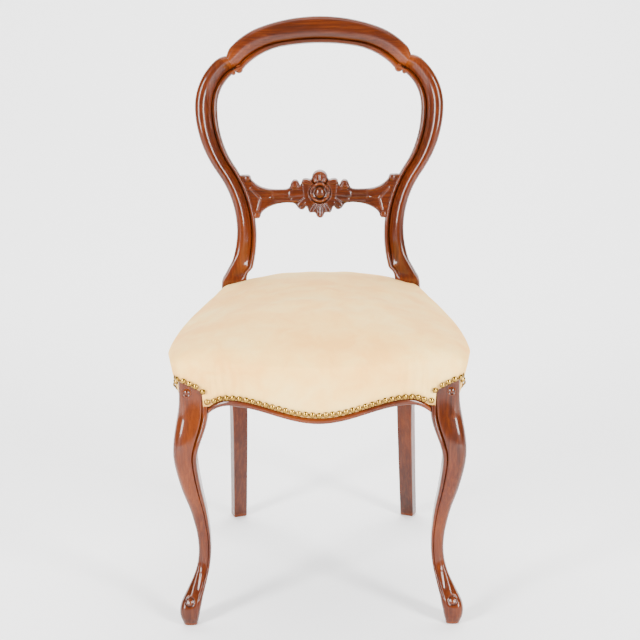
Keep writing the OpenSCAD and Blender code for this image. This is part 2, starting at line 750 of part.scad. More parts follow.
// Heights as shares of the post's top, sweep as a share of the cabriole sweep, width of the knee
front_leg_shares = [
    [0, 0.94, 0.56], [0.012, 0.96, 0.64], [0.034, 0.98, 0.78], [0.06, 0.96, 0.86], [0.085, 0.87, 0.86],
    [0.108, 0.74, 0.79], [0.133, 0.57, 0.71], [0.169, 0.34, 0.61], [0.205, 0.16, 0.555],
    [0.24, 0.05, 0.53], [0.277, 0, 0.525], [0.318, 0.01, 0.545], [0.361, 0.07, 0.58], [0.446, 0.29, 0.69],
    [0.542, 0.65, 0.84], [0.639, 0.92, 0.945], [0.72, 1, 1]
];
// Heights of its rings; above the first list its inner faces, then its outer ones, square up to the post
leg_levels = [
    0, 0.012, 0.034, 0.06, 0.085, 0.108, 0.133, 0.16, 0.19, 0.22, 0.25, 0.28, 0.31, 0.34, 0.375, 0.41,
    0.45, 0.49, 0.53, 0.57, 0.61, 0.65, 0.69, 0.72
];
inner_square = 0.845;
outer_square = 0.87;
post_levels = [0.745, 0.768, 0.79, 0.812, 0.828, inner_square, outer_square, 0.885, 1];

// Section of the leg: shares of its half widths, outwards and to the front, with a bead and its
// groove along the inner front edge. The post is square, and the foot is rounder.
leg_profile_shares = [
    [1, -0.1], [0.98, 0.3], [0.88, 0.64], [0.62, 0.88], [0.2, 0.98], [-0.3, 0.98], [-0.62, 0.93],
    [-0.71, 0.84], [-0.78, 0.97], [-0.88, 1.02], [-0.97, 0.93], [-1, 0.6], [-1, -0.1], [-0.97, -0.75],
    [-0.75, -0.97], [0, -1], [0.7, -0.96], [0.92, -0.72]
];
post_profile_shares = [
    [1, -0.1], [1, 0.3], [0.97, 0.74], [0.74, 0.97], [0.2, 1], [-0.3, 1], [-0.62, 1],
    [-0.71, 1], [-0.78, 1], [-0.88, 1], [-1, 1], [-1, 0.6], [-1, -0.1], [-1, -0.75],
    [-1, -1], [0, -1], [0.75, -1], [1, -0.75]
];
foot_profile_shares = [
    [1, -0.1], [0.98, 0.3], [0.9, 0.66], [0.66, 0.9], [0.2, 1], [-0.3, 0.98], [-0.58, 0.94],
    [-0.7, 0.88], [-0.8, 0.82], [-0.88, 0.74], [-0.95, 0.6], [-1, 0.4], [-1, -0.1], [-0.92, -0.68],
    [-0.7, -0.9], [0, -0.98], [0.62, -0.9], [0.88, -0.68]
];

// How far the knee stands outside its post, as a share of the sweep
knee_share = 0.64;
knee_x = post_x + cabriole_sweep * knee_share;
knee_y = post_y - cabriole_sweep * knee_share;
function leg_ring(x, y, z, w, profile) = [for (p = profile) [x + p[0] * w / 2, y - p[1] * w / 2, z]];
function cabriole_ring(s) =
    let (
        in = cabriole_sweep * (1 - smooth(front_leg_shares, s, 1)),
        w = knee_w * smooth(front_leg_shares, s, 2)
    )
    leg_ring(knee_x - in, knee_y + in, rail_top_h * s, w,
        blend_profile(foot_profile_shares, leg_profile_shares, ease(s * 12 - 1)));
function leg_ease(s, end) =
    let (start = leg_levels[len(leg_levels) - 1]) ease((s - start) / (end - start));
function post_ring(s) =
    let (
        half = knee_w / 2, inner = leg_ease(s, inner_square), outer = leg_ease(s, outer_square),
        x0 = mix(knee_x - half, post_inner_x, inner), x1 = mix(knee_x + half, post_face_x, outer),
        y0 = mix(knee_y + half, post_back_y, inner), y1 = mix(knee_y - half, post_face_y, outer)
    )
    leg_ring((x0 + x1) / 2, (y0 + y1) / 2, rail_top_h * s, x1 - x0,
        blend_profile(leg_profile_shares, post_profile_shares, ease((s - inner_square) * 30)));

// Patera turned on the knee block, and where it sits on the post's face
patera_r = 5.5;
patera_proud = 1.6;
patera_x = post_x + post_w * 0.22;
patera_drop = 30;
patera_h = rail_top_h - patera_drop;

module front_leg() {
    color(mahogany) difference() {
        union() {
            loft(concat([for (s = leg_levels) cabriole_ring(s)], [for (s = post_levels) post_ring(s)]));
            translate([patera_x, post_face_y, patera_h]) rotate([90, 0, 0])
                rotate_extrude($fn = 32) polygon([
                    [0, -overrun], [patera_r, -overrun], [patera_r, patera_proud * 0.6],
                    [patera_r * 0.8, patera_proud], [patera_r * 0.55, patera_proud * 0.6],
                    [patera_r * 0.35, patera_proud], [0, patera_proud]
                ]);
        }
        front_tenons(fit_gap);
        side_tenons(fit_gap);
    }
}
module front_leg_right() front_leg();
module front_leg_left() mirror([1, 0, 0]) front_leg();

// Corner blocks, glued and screwed inside the corners of the frame

block_foot_gap = 4;
block_top_gap = 6;
block_under_h = rail_under_h + batten_h + block_foot_gap;
block_h = rail_top_h - block_top_gap - block_under_h;
block_reach = 46;
screw_d = 4;
screw_head_d = 8;
screw_l = 34;
screw_gap = 0.1;
screw_into = 16;

front_block_x = post_inner_x - block_reach;
front_block_y = post_back_y + block_reach;
front_screw_x = post_inner_x - block_reach * 0.42;
side_screw_y = post_back_y + block_reach * 0.42;
screw_level = block_under_h + block_h / 2;
function side_inner_x(y) = side_x(y) - rail_t;

module block_screw(gap) {
    cylinder(d = screw_d + 2 * gap, h = screw_l + gap, $fn = 20);
    cylinder(d1 = screw_head_d + 2 * gap, d2 = screw_d + 2 * gap, h = screw_d / 2 + gap, $fn = 20);
}

module front_screw(gap) {
    translate([front_screw_x, bow_y(front_screw_x) + rail_t - screw_into + screw_l, screw_level])
        rotate([90, 0, 0]) block_screw(gap);
}
module front_side_screw(gap) {
    translate([side_inner_x(side_screw_y) + screw_into - screw_l, side_screw_y, screw_level])
        rotate([0, 90, 0]) block_screw(gap);
}
rear_block_x = hip_inner_x - block_reach * 0.7;
rear_block_y = hip_front_y - block_reach;
rear_side_screw_y = hip_front_y - block_reach * 0.4;
rear_screw_x = hip_inner_x - block_reach * 0.28;
module rear_screw(gap) {
    translate([rear_screw_x, rear_rail_y + screw_into - screw_l, screw_level])
        rotate([-90, 0, 0]) block_screw(gap);
}
module rear_side_screw(gap) {
    translate([side_inner_x(rear_side_screw_y) + screw_into - screw_l, rear_side_screw_y, screw_level])
        rotate([0, 90, 0]) block_screw(gap);
}
module side_screws(gap) {
    front_side_screw(gap);
    rear_side_screw(gap);
}

// Pocket that sinks a screw's head into the sloping face of its block
module head_pocket(depth) {
    mirror([0, 0, 1]) cylinder(d = screw_head_d + 4 * screw_gap, h = depth, $fn = 20);
}

module front_block() {
    color(beech) difference() {
        translate([0, 0, block_under_h]) linear_extrude(block_h) polygon([
            [front_block_x, bow_y(front_block_x) + rail_t + fit_gap],
            [post_inner_x - fit_gap, bow_y(post_inner_x) + rail_t + fit_gap],
            [post_inner_x - fit_gap, post_back_y + fit_gap],
            [side_inner_x(side_front_y) - fit_gap, post_back_y + fit_gap],
            [side_inner_x(front_block_y) - fit_gap, front_block_y]
        ]);
        front_screw(screw_gap);
        front_side_screw(screw_gap);
        translate([front_screw_x, bow_y(front_screw_x) + rail_t - screw_into + screw_l, screw_level])
            rotate([90, 0, 0]) head_pocket(block_reach);
        translate([side_inner_x(side_screw_y) + screw_into - screw_l, side_screw_y, screw_level])
            rotate([0, 90, 0]) head_pocket(block_reach);
    }
}
module rear_block() {
    color(beech) difference() {
        translate([0, 0, block_under_h]) linear_extrude(block_h) polygon([
            [rear_block_x, rear_rail_y - fit_gap],
            [rear_block_x + screw_head_d, rear_rail_y - screw_l + screw_into],
            [side_inner_x(rear_block_y) - fit_gap, rear_block_y],
            [side_inner_x(side_back_y) - fit_gap, hip_front_y - fit_gap],
            [hip_inner_x - fit_gap, hip_front_y - fit_gap],
            [hip_inner_x - fit_gap, rear_rail_y - fit_gap]
        ]);
        rear_screw(screw_gap);
        rear_side_screw(screw_gap);
        translate([rear_screw_x, rear_rail_y + screw_into - screw_l, screw_level])
            rotate([-90, 0, 0]) head_pocket(block_reach);
        translate([side_inner_x(rear_side_screw_y) + screw_into - screw_l, rear_side_screw_y, screw_level])
            rotate([0, 90, 0]) head_pocket(block_reach);
    }
}
module corner_block_front_right() front_block();
module corner_block_front_left() mirror([1, 0, 0]) front_block();
module corner_block_rear_right() rear_block();
module corner_block_rear_left() mirror([1, 0, 0]) rear_block();

module block_screws() {
    color(steel) for (s = [0, 1]) mirror([s, 0, 0]) {
        front_screw(0);
        side_screws(0);
        rear_screw(0);
    }
}

// Webbing: three strips each way, woven over and under, on the undersides of the rails

web_gap = 0.3;
web_top_z = rail_under_h - web_gap;
web_over_z = web_top_z - web_t / 2;
web_under_z = web_over_z - web_t - web_gap;
web_spacing = hip_inner_x * 0.6;
web_cross_shares = [0.16, 0.465, 0.77];
web_cross_ys = [for (s = web_cross_shares) mix(batten_back_y, rear_rail_y, s)];
web_seat = 10;
web_lead = 2;
web_inset = 18;
web_side_inset = 19.5;
web_front_y = batten_back_y - web_seat;
web_back_y = hip_back_y - web_inset;
web_slope_share = 0.23;
function web_reach(y) = side_x(y) - web_side_inset;

// Level of strip i of one set where it crosses strip j of the other
function web_level(i, j, flip) = (i + j + flip) % 2 == 0 ? web_over_z : web_under_z;

// A strip along X from a to b, at the given level over each crossing c
module web_strip(a, b, crossings, levels) {
    half = web_w / 2 + (crossings[1] - crossings[0] - web_w) * web_slope_share;
    line = concat([[a, web_over_z], [a + web_seat + web_lead, web_over_z]],
        [for (k = [0:len(crossings) - 1]) each [
            [crossings[k] - half, levels[k]], [crossings[k] + half, levels[k]]
        ]],
        [[b - web_seat - web_lead, web_over_z], [b, web_over_z]]);
    n = len(line) - 1;
    translate([0, web_w / 2, 0]) rotate([90, 0, 0]) linear_extrude(web_w)
        polygon(concat([for (p = line) [p[0], p[1] - web_t / 2]],
            [for (k = [n:-1:0]) [line[k][0], line[k][1] + web_t / 2]]));
}
module web_long(i) {
    color(jute) translate([(i - 1) * web_spacing, 0, 0]) rotate([0, 0, 90])
        web_strip(web_front_y, web_back_y, web_cross_ys, [for (j = [0:2]) web_level(i, j, 0)]);
}
module web_cross(j) {
    reach = web_reach(web_cross_ys[j]);
    color(jute) translate([0, web_cross_ys[j], 0])
        web_strip(-reach, reach, [for (i = [0:2]) (i - 1) * web_spacing], [for (i = [0:2]) web_level(i, j, 1)]);
}
module webbing_long_left() web_long(0);
module webbing_long_middle() web_long(1);
module webbing_long_right() web_long(2);
module webbing_cross_front() web_cross(0);
module webbing_cross_middle() web_cross(1);
module webbing_cross_rear() web_cross(2);

tack_d = 7;
tack_h = 1;
tack_gap = 0.2;
module tack_head(d) {
    rotate_extrude($fn = 16) polygon([[0, 0], [d * 0.3, 0], [d / 2, tack_h * 0.6], [d / 2, tack_h], [0, tack_h]]);
}
module tack() {
    translate([0, 0, web_top_z - web_t - tack_gap - tack_h]) tack_head(tack_d);
}
module webbing_tacks() {
    inset = tack_d * 0.7;
    color(steel) for (k = [-1, 0, 1]) {
        for (i = [-1, 0, 1], y = [web_front_y + inset, web_back_y - inset])
            translate([i * web_spacing + k * web_w * 0.35, y, 0]) tack();
        for (y = web_cross_ys, s = [-1, 1])
            translate([s * (web_reach(y) - inset), y + k * web_w * 0.35, 0]) tack();
    }
}

// Springs: double cones of steel wire between the webbing and the lashing

spring_turns = 4.5;
spring_foot_z = web_top_z + web_gap + spring_wire_d / 2;
spring_rings_per_turn = 8;
spring_sides = 6;
spring_x = web_spacing;
spring_ys = web_cross_ys;
spring_h = crown_h - pad_depth - rail_under_h;
spring_rear_x = web_spacing * 0.92;

function spring_radius(s) = mix(spring_waist_r, spring_r, pow(abs(2 * s - 1), 1.5));
function spring_point(s) =
    let (a = 360 * spring_turns * s, r = spring_radius(s), flat = ease((s - 0.08) / 0.84))
    [r * cos(a), r * sin(a), spring_foot_z + (spring_h - spring_wire_d) * flat];
function spring_ring(s) =
    let (a = 360 * spring_turns * s, c = spring_point(s), out = [cos(a), sin(a), 0])
    [for (k = [0:spring_sides - 1]) let (b = -360 * k / spring_sides)
        c + (out * cos(b) + [0, 0, 1] * sin(b)) * spring_wire_d / 2];

// Least distance between the wire of one turn and the wire of the next, less its thickness
spring_steps = spring_turns * spring_rings_per_turn;
spring_gap = min([
    for (i = [0:spring_steps - spring_rings_per_turn])
        norm(spring_point((i + spring_rings_per_turn) / spring_steps) - spring_point(i / spring_steps))
]) - spring_wire_d;
echo(spring_gap = spring_gap);

module spring(x, y) {
    color(steel) translate([x, y, 0]) loft([for (i = [spring_steps:-1:0]) spring_ring(i / spring_steps)]);
}
module spring_front_left() spring(-spring_x, spring_ys[0]);
module spring_front_right() spring(spring_x, spring_ys[0]);
module spring_centre() spring(0, spring_ys[1]);
module spring_rear_left() spring(-spring_rear_x, spring_ys[2]);
module spring_rear_right() spring(spring_rear_x, spring_ys[2]);

// Lashing: cord over the tops of the springs, down to the inner edges of the rails
cord_d = 3;
knot_d = cord_d * 1.4;
lash_z = spring_foot_z + spring_h - spring_wire_d / 2 + layer_gap / 2 + knot_d / 2;
lash_rail_z = rail_top_h + fit_gap + knot_d / 2;
lash_step = cord_d * 0.4;
lash_inset = 6;

module cord(a, b) {
    d = b - a;
    translate(a) rotate([0, acos(d[2] / norm(d)), atan2(d[1], d[0])])
        cylinder(d = cord_d, h = norm(d), $fn = 6);
    translate(a) sphere(d = knot_d, $fn = 6);
}
module lashed(line) {
    for (i = [0:len(line) - 2]) cord(line[i], line[i + 1]);
    translate(line[len(line) - 1]) sphere(d = knot_d, $fn = 6);
}
module spring_lashing() {
    color(jute) {
        for (y = spring_ys)
            let (r = side_inner_x(y) + lash_inset, w = spring_x + spring_r)
            lashed([[-r, y, lash_rail_z], [-w, y, lash_z], [w, y, lash_z], [r, y, lash_rail_z]]);
        for (x = [-spring_x, 0, spring_x])
            lashed([
                [x, bow_y(x) + rail_t - lash_inset, lash_rail_z],
                [x, spring_ys[0] - spring_r, lash_z + lash_step], [x, spring_ys[2] + spring_r, lash_z + lash_step],
                [x, rear_rail_y + lash_inset, lash_rail_z]
            ]);
        for (x = [-spring_x, 0, spring_x], y = spring_ys)
            translate([x, y, lash_z + lash_step / 2]) sphere(d = knot_d * 1.2, $fn = 6);
    }
}

// Seat outline: points round the frame, each with its outward direction, the height of the cover's
// lower edge there, the swell of the seat past the frame, and the height of the seat's edge roll

rim_gap = 0.8;
rear_swell = 1.5;
side_rim_rise = 6;
side_rim_h = rail_under_h + side_rim_rise;
// Drops of the cover's edge below the rails' tops: low beside the haunch, then inside and outside
flap_low_drop = 53;
flap_in_drop = 29;
flap_out_drop = 13;
flap_low_h = rail_top_h - flap_low_drop;
flap_in_h = rail_top_h - flap_in_drop;
flap_out_h = rail_top_h - flap_out_drop;
flap_sag = 2;
flap_slope = 1.5;
flap_in = 7;
corner_r = 8;
flap_x = post_inner_x + flap_in;

function front_rim(x) = serpentine(x) + bead_h + rim_gap;
function bow_normal(x) = unit([2 * rail_bow * x / pow(post_inner_x, 2), -1]);

// Rows of the outline: x, y, outward direction, height of the cover's lower edge, swell
function front_row(x) =
    let (n = bow_normal(x)) [x, bow_y(x), n[0], n[1], front_rim(x), front_swell];
function flap_row(x, rim) = [x, post_face_y, 0, -1, rim, front_swell * 0.8];
function corner_row(a) =
    [post_face_x - corner_r + corner_r * sin(a), post_face_y + corner_r - corner_r * cos(a), sin(a), -cos(a),
        flap_out_h, mix(front_swell * 0.8, side_swell * 0.42, a / 90)];
function post_row(y, rim) =
    [post_face_x, y, 1, 0, rim, side_swell * mix(0.45, 0.85, (y - post_face_y) / post_w)];
function side_row(y) =
    let (
        s = (y - side_front_y) / (side_back_y - side_front_y),
        a = side_angle - atan(side_bow * 4 * (1 - 2 * s) / (side_back_y - side_front_y))
    )
    [side_x(y), y, cos(a), sin(a), side_rim_h, side_swell * mix(1, 0.4, ease(s))];
function rear_row(s) = [side_back_x * s, hip_back_y, 0, 1, side_rim_h, rear_swell];

front_shares = [0, 0.2, 0.4, 0.6, 0.7, 0.8, 0.88, 0.94, 0.976];
rear_shares = [0.9, 0.75, 0.5, 0.25, 0];
half_line = concat(
    [for (s = front_shares) front_row(s * post_inner_x)],
    [
        flap_row(flap_x, flap_low_h), flap_row(flap_x + flap_slope, flap_in_h),
        flap_row(post_face_x - corner_r, flap_out_h - flap_sag)
    ],
    [corner_row(45)],
    [
        post_row(post_face_y + corner_r, flap_out_h - flap_sag / 2),
        post_row(post_face_y + post_w * 0.6, flap_out_h - 2 * flap_sag),
        post_row(post_back_y - flap_in - flap_slope, flap_in_h), post_row(post_back_y - flap_in, side_rim_h)
    ],
    [for (s = [0.05, 0.2, 0.4, 0.6, 0.8, 1]) side_row(mix(side_front_y, side_back_y, s))],
    [[side_back_x, hip_back_y - corner_r, 1, 0, side_rim_h, side_swell * 0.2]],
    [for (s = rear_shares) rear_row(s)]
);
half_count = len(half_line);
function mirror_row(r) = [-r[0], r[1], -r[2], r[3], r[4], r[5]];
seat_line = concat(half_line, [for (i = [half_count - 2:-1:1]) mirror_row(half_line[i])]);

// Height of the seat's top: a ridge from front to rear that falls to a level edge at each side
edge_side_h = crown_h - crown_rise * 0.575;
edge_front_h = crown_h - crown_rise * 0.63;
edge_rear_h = crown_h - crown_rise * 0.274;
ridge_power = 2.8;
fall_power = 2.3;
seat_centre = [0, seat_mid_y];
seat_half_d = (hip_back_y - rail_face_y) / 2 + front_swell;
function ridge_h(v) = mix(v < 0 ? edge_front_h : edge_rear_h, crown_h, 1 - pow(min(1, abs(v)), ridge_power));
function dome_h(x, y) =
    let (
        v = (y - seat_mid_y) / seat_half_d,
        half_w = mix(post_face_x + side_swell, side_back_x + side_swell * 0.4, (v + 1) / 2)
    )
    mix(edge_side_h, ridge_h(v), 1 - pow(min(1, abs(x) / half_w), fall_power));

// Rings of the seat's form: up its walls to the girth, round its shoulder, and over its dome
wall_shares = [[0, 0], [0.35, 0.3], [0.78, 0.66], [1, 1]];
shoulder_angles = [32, 62, 90];
shoulder_share = 0.1;
dome_shares = [0.76, 0.58, 0.38, 0.16];

// How far the wall stands outside the frame at a height
wall_table = [for (w = wall_shares) [w[1], w[0]]];
function wall_out(p, z) = p[5] * lookup((z - p[4]) / (girth_h - p[4]), wall_table);
function girth_point(p, skin) = [p[0] + p[2] * (skin + p[5]), p[1] + p[3] * (skin + p[5])];
function wall_ring(share, skin) = [
    for (p = seat_line)
        let (off = skin + p[5] * share[0])
        [p[0] + p[2] * off, p[1] + p[3] * off, mix(p[4], girth_h, share[1])]
];
function dome_ring(s, skin, drop, rise = 1) = [
    for (p = seat_line)
        let (c = seat_centre + (girth_point(p, skin) - seat_centre) * s)
        [c[0], c[1], mix(girth_h, dome_h(c[0], c[1]) - drop, rise)]
];
function seat_form(skin, drop, first = 0) = concat(
    [for (i = [first:len(wall_shares) - 1]) wall_ring(wall_shares[i], skin)],
    [for (a = shoulder_angles) dome_ring(1 - shoulder_share * (1 - cos(a)), skin, drop, sin(a))],
    [for (s = dome_shares) dome_ring(s, skin, drop)]
);

// Space for the rear legs through the seat's layers, with room for the flare at each stile's foot
notch_relief = 0.9;
module leg_notches(gap) {
    for (s = [0, 1]) mirror([s, 0, 0])
        translate([hip_inner_x - gap - notch_relief, hip_front_y - gap, rail_under_h - hip_t])
            cube([2 * hip_w, 2 * hip_t, chair_h / 4]);
}

module seat_cover() {
    outer = seat_form(cover_gap + cover_t, 0);
    inner = seat_form(cover_gap, cover_t);
    color(cream) difference() {
        loft(concat(backwards(outer), inner));
        leg_notches(cover_gap);
    }
}

// Hessian over the springs, tacked to the rails' tops, and the stuffing on it
hessian_t = 1.2;
hessian_rail_z = rail_top_h + fit_gap;
hessian_top_z = lash_z + lash_step + knot_d * 0.6 + layer_gap;
hessian_shares = [[0.985, 0], [0.955, 0], [0.93, 0.2], [0.74, 1]];

function level_ring(s, z) = [
    for (p = seat_line) let (c = seat_centre + ([p[0], p[1]] - seat_centre) * s) [c[0], c[1], z]
];
function hessian_rings(lift) =
    [for (h = hessian_shares) level_ring(h[0], mix(hessian_rail_z, hessian_top_z, h[1]) + lift)];

module spring_hessian() {
    color(jute) difference() {
        loft(concat(backwards(hessian_rings(hessian_t)), hessian_rings(0)));
        leg_notches(cover_gap);
    }
}
module seat_stuffing() {
    form = seat_form(-2 * layer_gap, cover_t + 3 * layer_gap, len(wall_shares) - 1);
    lift = hessian_t + layer_gap;
    foot = [for (p = seat_line) [p[0] + p[2] * p[5] * 0.6, p[1] + p[3] * p[5] * 0.6, hessian_rail_z + lift]];
    color("#d8c7a2") difference() {
        loft(concat(backwards(form), [foot], hessian_rings(lift)));
        leg_notches(cover_gap + layer_gap);
    }
}

// Dust cover: a thin cloth under the frame, dropped clear of the webbing inside its tacked edge
dust_t = 0.6;
dust_edge_z = rail_under_h - fit_gap - dust_t;
dust_low_z = web_under_z - web_t / 2 - web_gap - dust_t;
dust_inset = 5;
dust_front_in = 22;
dust_corner_w = 24;
dust_nick = 8;
dust_slack = 2;
dust_front_y = post_back_y - dust_front_in;
dust_back_y = hip_back_y - dust_inset - dust_slack;
dust_half = [
    [0, dust_front_y], [post_inner_x - dust_corner_w, dust_front_y],
    [post_inner_x - 2 * dust_inset, post_back_y + dust_slack * 1.5],
    [side_x(side_front_y) - dust_inset - dust_slack, post_back_y + dust_nick],
    [side_x(seat_mid_y) - dust_inset, seat_mid_y],
    [side_x(side_back_y) - dust_inset, side_back_y - dust_nick],
    [hip_inner_x - dust_inset, side_back_y - dust_inset], [hip_inner_x - dust_inset, dust_back_y],
    [0, dust_back_y]
];
dust_line = concat(dust_half, [for (i = [len(dust_half) - 2:-1:1]) [-dust_half[i][0], dust_half[i][1]]]);
dust_shares = [[1, 1], [0.972, 1], [0.964, 0]];
dust_tack_share = 0.988;
function dust_rings(lift) = [
    for (d = dust_shares) [
        for (p = dust_line) let (c = seat_centre + (p - seat_centre) * d[0])
            [c[0], c[1], mix(dust_low_z, dust_edge_z, d[1]) + lift]
    ]
];
module dust_cover() {
    color(black_cloth) loft(concat(backwards(dust_rings(dust_t)), dust_rings(0)));
}
dust_tack_d = 3.6;
module dust_cover_tacks() {
    color(steel) for (i = [0:len(dust_line) - 1]) {
        a = dust_line[i];
        b = dust_line[(i + 1) % len(dust_line)];
        for (k = norm(b - a) > block_reach ? [0.17, 0.5, 0.83] : [0.5]) {
            p = seat_centre + (mix(a, b, k) - seat_centre) * dust_tack_share;
            translate([p[0], p[1], dust_edge_z - tack_gap - tack_h]) tack_head(dust_tack_d);
        }
    }
}

// Nails: domed heads on the cover along its lower edge, spaced evenly along each run

nail_over = 0.1;
nail_rise = nail_d / 2 + nail_over;
nail_gap = 0.3;
nail_skin = cover_gap + cover_t + nail_gap;

// A spot on the cover's wall: how far round the outline, in rows of its half line, and its height
function outline_row(u) =
    let (v = abs(u), i = min(floor(v), half_count - 2), p = mix(half_line[i], half_line[i + 1], v - i))
    u < 0 ? mirror_row(p) : p;
function wall_point(u, z) =
    let (p = outline_row(u), out = nail_skin + wall_out(p, z))
    [p[0] + p[2] * out, p[1] + p[3] * out, z];
function wall_normal(u, z) =
    unit(cross(wall_point(u + 0.5, z) - wall_point(u - 0.5, z), wall_point(u, z + nail_rise) - wall_point(u, z)));
function nailed(u, z, lift = 0) = [u, z, lift, wall_point(u, z)];
function nailed_row(u) = nailed(u, outline_row(u)[4] + nail_rise);

// Total length of a run of spots, and the spot at a distance along it
function run_lengths(run) = [
    for (i = 0, sum = 0; i < len(run); sum = sum + (i < len(run) - 1 ? norm(run[i + 1][3] - run[i][3]) : 0), i = i + 1)
        sum
];
function run_spot(run, sums, d, i = 0) =
    i >= len(run) - 2 || d <= sums[i + 1]
    ? mix(run[i], run[i + 1], (d - sums[i]) / (sums[i + 1] - sums[i])) : run_spot(run, sums, d, i + 1);

module nail() {
    rotate_extrude($fn = 20) polygon([
        [0, 0], [nail_d / 2, 0], [nail_d * 0.46, nail_h * 0.45], [nail_d * 0.34, nail_h * 0.78],
        [nail_d * 0.17, nail_h * 0.96], [0, nail_h]
    ]);
}

// Nails along a run of spots, from a first distance to the run's end, square to the cover's wall and
// lifted where the wall folds round a flap's inner corner
module nail_run(run, first) {
    sums = run_lengths(run);
    total = sums[len(sums) - 1];
    count = floor((total - first) / nail_pitch);
    step = (total - first) / count;
    for (k = [0:count]) {
        spot = run_spot(run, sums, first + k * step);
        n = wall_normal(spot[0], spot[1]);
        translate(wall_point(spot[0], spot[1]) + n * spot[2]) rotate([0, acos(n[2]), atan2(n[1], n[0])]) nail();
    }
}

fold_lift = 1.2;
fold_shift = 1;
flap_row_u = len(front_shares);
corner_row_u = flap_row_u + 3;
side_row_u = corner_row_u + 5;
rear_corner_u = side_row_u + 6;
front_run = concat(
    [for (i = [0:4 * (flap_row_u - 1)]) nailed_row(i / 4)],
    [
        nailed(flap_row_u - 0.45, flap_low_h + nail_rise + fold_shift),
        nailed(flap_row_u - 0.25, mix(flap_low_h, flap_in_h, 0.6) + nail_rise),
        nailed(flap_row_u, flap_in_h + nail_rise + 1.5 * fold_shift, fold_lift),
        nailed(flap_row_u + 1, flap_in_h + nail_rise + 1.5 * fold_shift, fold_lift),
        nailed_row(flap_row_u + 1.4), nailed_row(flap_row_u + 2)
    ]
);
side_run = concat(
    [
        nailed_row(corner_row_u + 0.1), nailed_row(corner_row_u + 1), nailed_row(corner_row_u + 2),
        nailed(side_row_u - 2, flap_in_h + nail_rise + 2 * fold_shift, 1.2 * fold_lift),
        nailed(side_row_u - 1, flap_in_h + nail_rise - 2 * fold_shift, fold_lift),
        nailed(side_row_u - 0.5, mix(side_rim_h, flap_in_h, 0.4) + nail_rise, 0)
    ],
    [for (i = [0:19]) nailed_row(side_row_u + 5 * i / 20)],
    [nailed_row(side_row_u + 4.85)]
);
rear_end_share = (hip_inner_x - nail_d * 0.8) / side_back_x;
rear_run = concat(
    [for (u = [half_count - 1:-1:rear_corner_u + 3]) nailed_row(u)],
    [nailed_row(rear_corner_u + 2 + (rear_shares[1] - rear_end_share) / (rear_shares[1] - rear_shares[2]))]
);

module nails_front() {
    color(brass) {
        nail_run(front_run, 0);
        mirror([1, 0, 0]) nail_run(front_run, nail_pitch);
    }
}
module nails_right() {
    color(brass) nail_run(side_run, 0);
}
module nails_left() mirror([1, 0, 0]) nails_right();
module nails_rear() {
    color(brass) {
        nail_run(rear_run, 0);
        mirror([1, 0, 0]) nail_run(rear_run, nail_pitch);
    }
}

front_leg_left();
front_leg_right();
rear_leg_left();
rear_leg_right();
crest_rail();
cross_rail();
front_rail();
rear_rail();
side_rail_left();
side_rail_right();
webbing_batten();
corner_block_front_left();
corner_block_front_right();
corner_block_rear_left();
corner_block_rear_right();
block_screws();
crest_dowels();
webbing_long_left();
webbing_long_middle();
webbing_long_right();
webbing_cross_front();
webbing_cross_middle();
webbing_cross_rear();
webbing_tacks();
spring_front_left();
spring_front_right();
spring_centre();
spring_rear_left();
spring_rear_right();
spring_lashing();
spring_hessian();
seat_stuffing();
seat_cover();
dust_cover();
dust_cover_tacks();
nails_front();
nails_left();
nails_right();
nails_rear();
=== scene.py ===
"""Balloon back dining chair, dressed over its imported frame.

Sizes are in millimetres in this file and become metres when a mesh is made. The chair faces -Y and +Z
is up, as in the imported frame. Right-hand pieces are built and mirrored.
"""

import json
import logging
import math
from dataclasses import dataclass
from enum import Enum
from typing import Callable, Iterable, Sequence

import bmesh
import bpy
import numpy as np
from mathutils import Matrix, Vector
from mathutils.kdtree import KDTree

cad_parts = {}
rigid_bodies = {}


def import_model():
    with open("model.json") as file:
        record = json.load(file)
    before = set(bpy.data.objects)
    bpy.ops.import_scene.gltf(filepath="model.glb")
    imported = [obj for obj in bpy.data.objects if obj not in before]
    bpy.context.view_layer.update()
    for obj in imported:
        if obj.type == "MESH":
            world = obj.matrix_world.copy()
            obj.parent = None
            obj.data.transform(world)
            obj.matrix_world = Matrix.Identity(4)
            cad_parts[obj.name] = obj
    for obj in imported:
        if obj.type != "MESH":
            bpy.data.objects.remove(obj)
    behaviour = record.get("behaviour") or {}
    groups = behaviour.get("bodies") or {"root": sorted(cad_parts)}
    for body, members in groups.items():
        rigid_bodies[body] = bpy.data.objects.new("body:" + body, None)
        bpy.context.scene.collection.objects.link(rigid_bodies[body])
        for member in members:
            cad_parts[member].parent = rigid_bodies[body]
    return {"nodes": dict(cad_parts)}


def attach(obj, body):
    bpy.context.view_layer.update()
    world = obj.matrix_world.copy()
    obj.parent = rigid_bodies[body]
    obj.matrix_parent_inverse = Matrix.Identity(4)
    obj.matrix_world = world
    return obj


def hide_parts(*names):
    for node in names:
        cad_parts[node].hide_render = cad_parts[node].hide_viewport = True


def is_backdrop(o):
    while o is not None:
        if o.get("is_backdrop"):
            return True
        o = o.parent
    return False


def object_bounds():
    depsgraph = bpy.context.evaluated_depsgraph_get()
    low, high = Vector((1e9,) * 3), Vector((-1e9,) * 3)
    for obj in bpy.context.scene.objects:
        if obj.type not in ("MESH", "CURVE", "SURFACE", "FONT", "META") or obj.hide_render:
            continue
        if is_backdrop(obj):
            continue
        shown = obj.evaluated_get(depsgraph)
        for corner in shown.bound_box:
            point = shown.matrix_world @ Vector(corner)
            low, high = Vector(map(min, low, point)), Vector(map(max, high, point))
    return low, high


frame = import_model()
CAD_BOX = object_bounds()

LOG = logging.getLogger("chair")
MM = 0.001

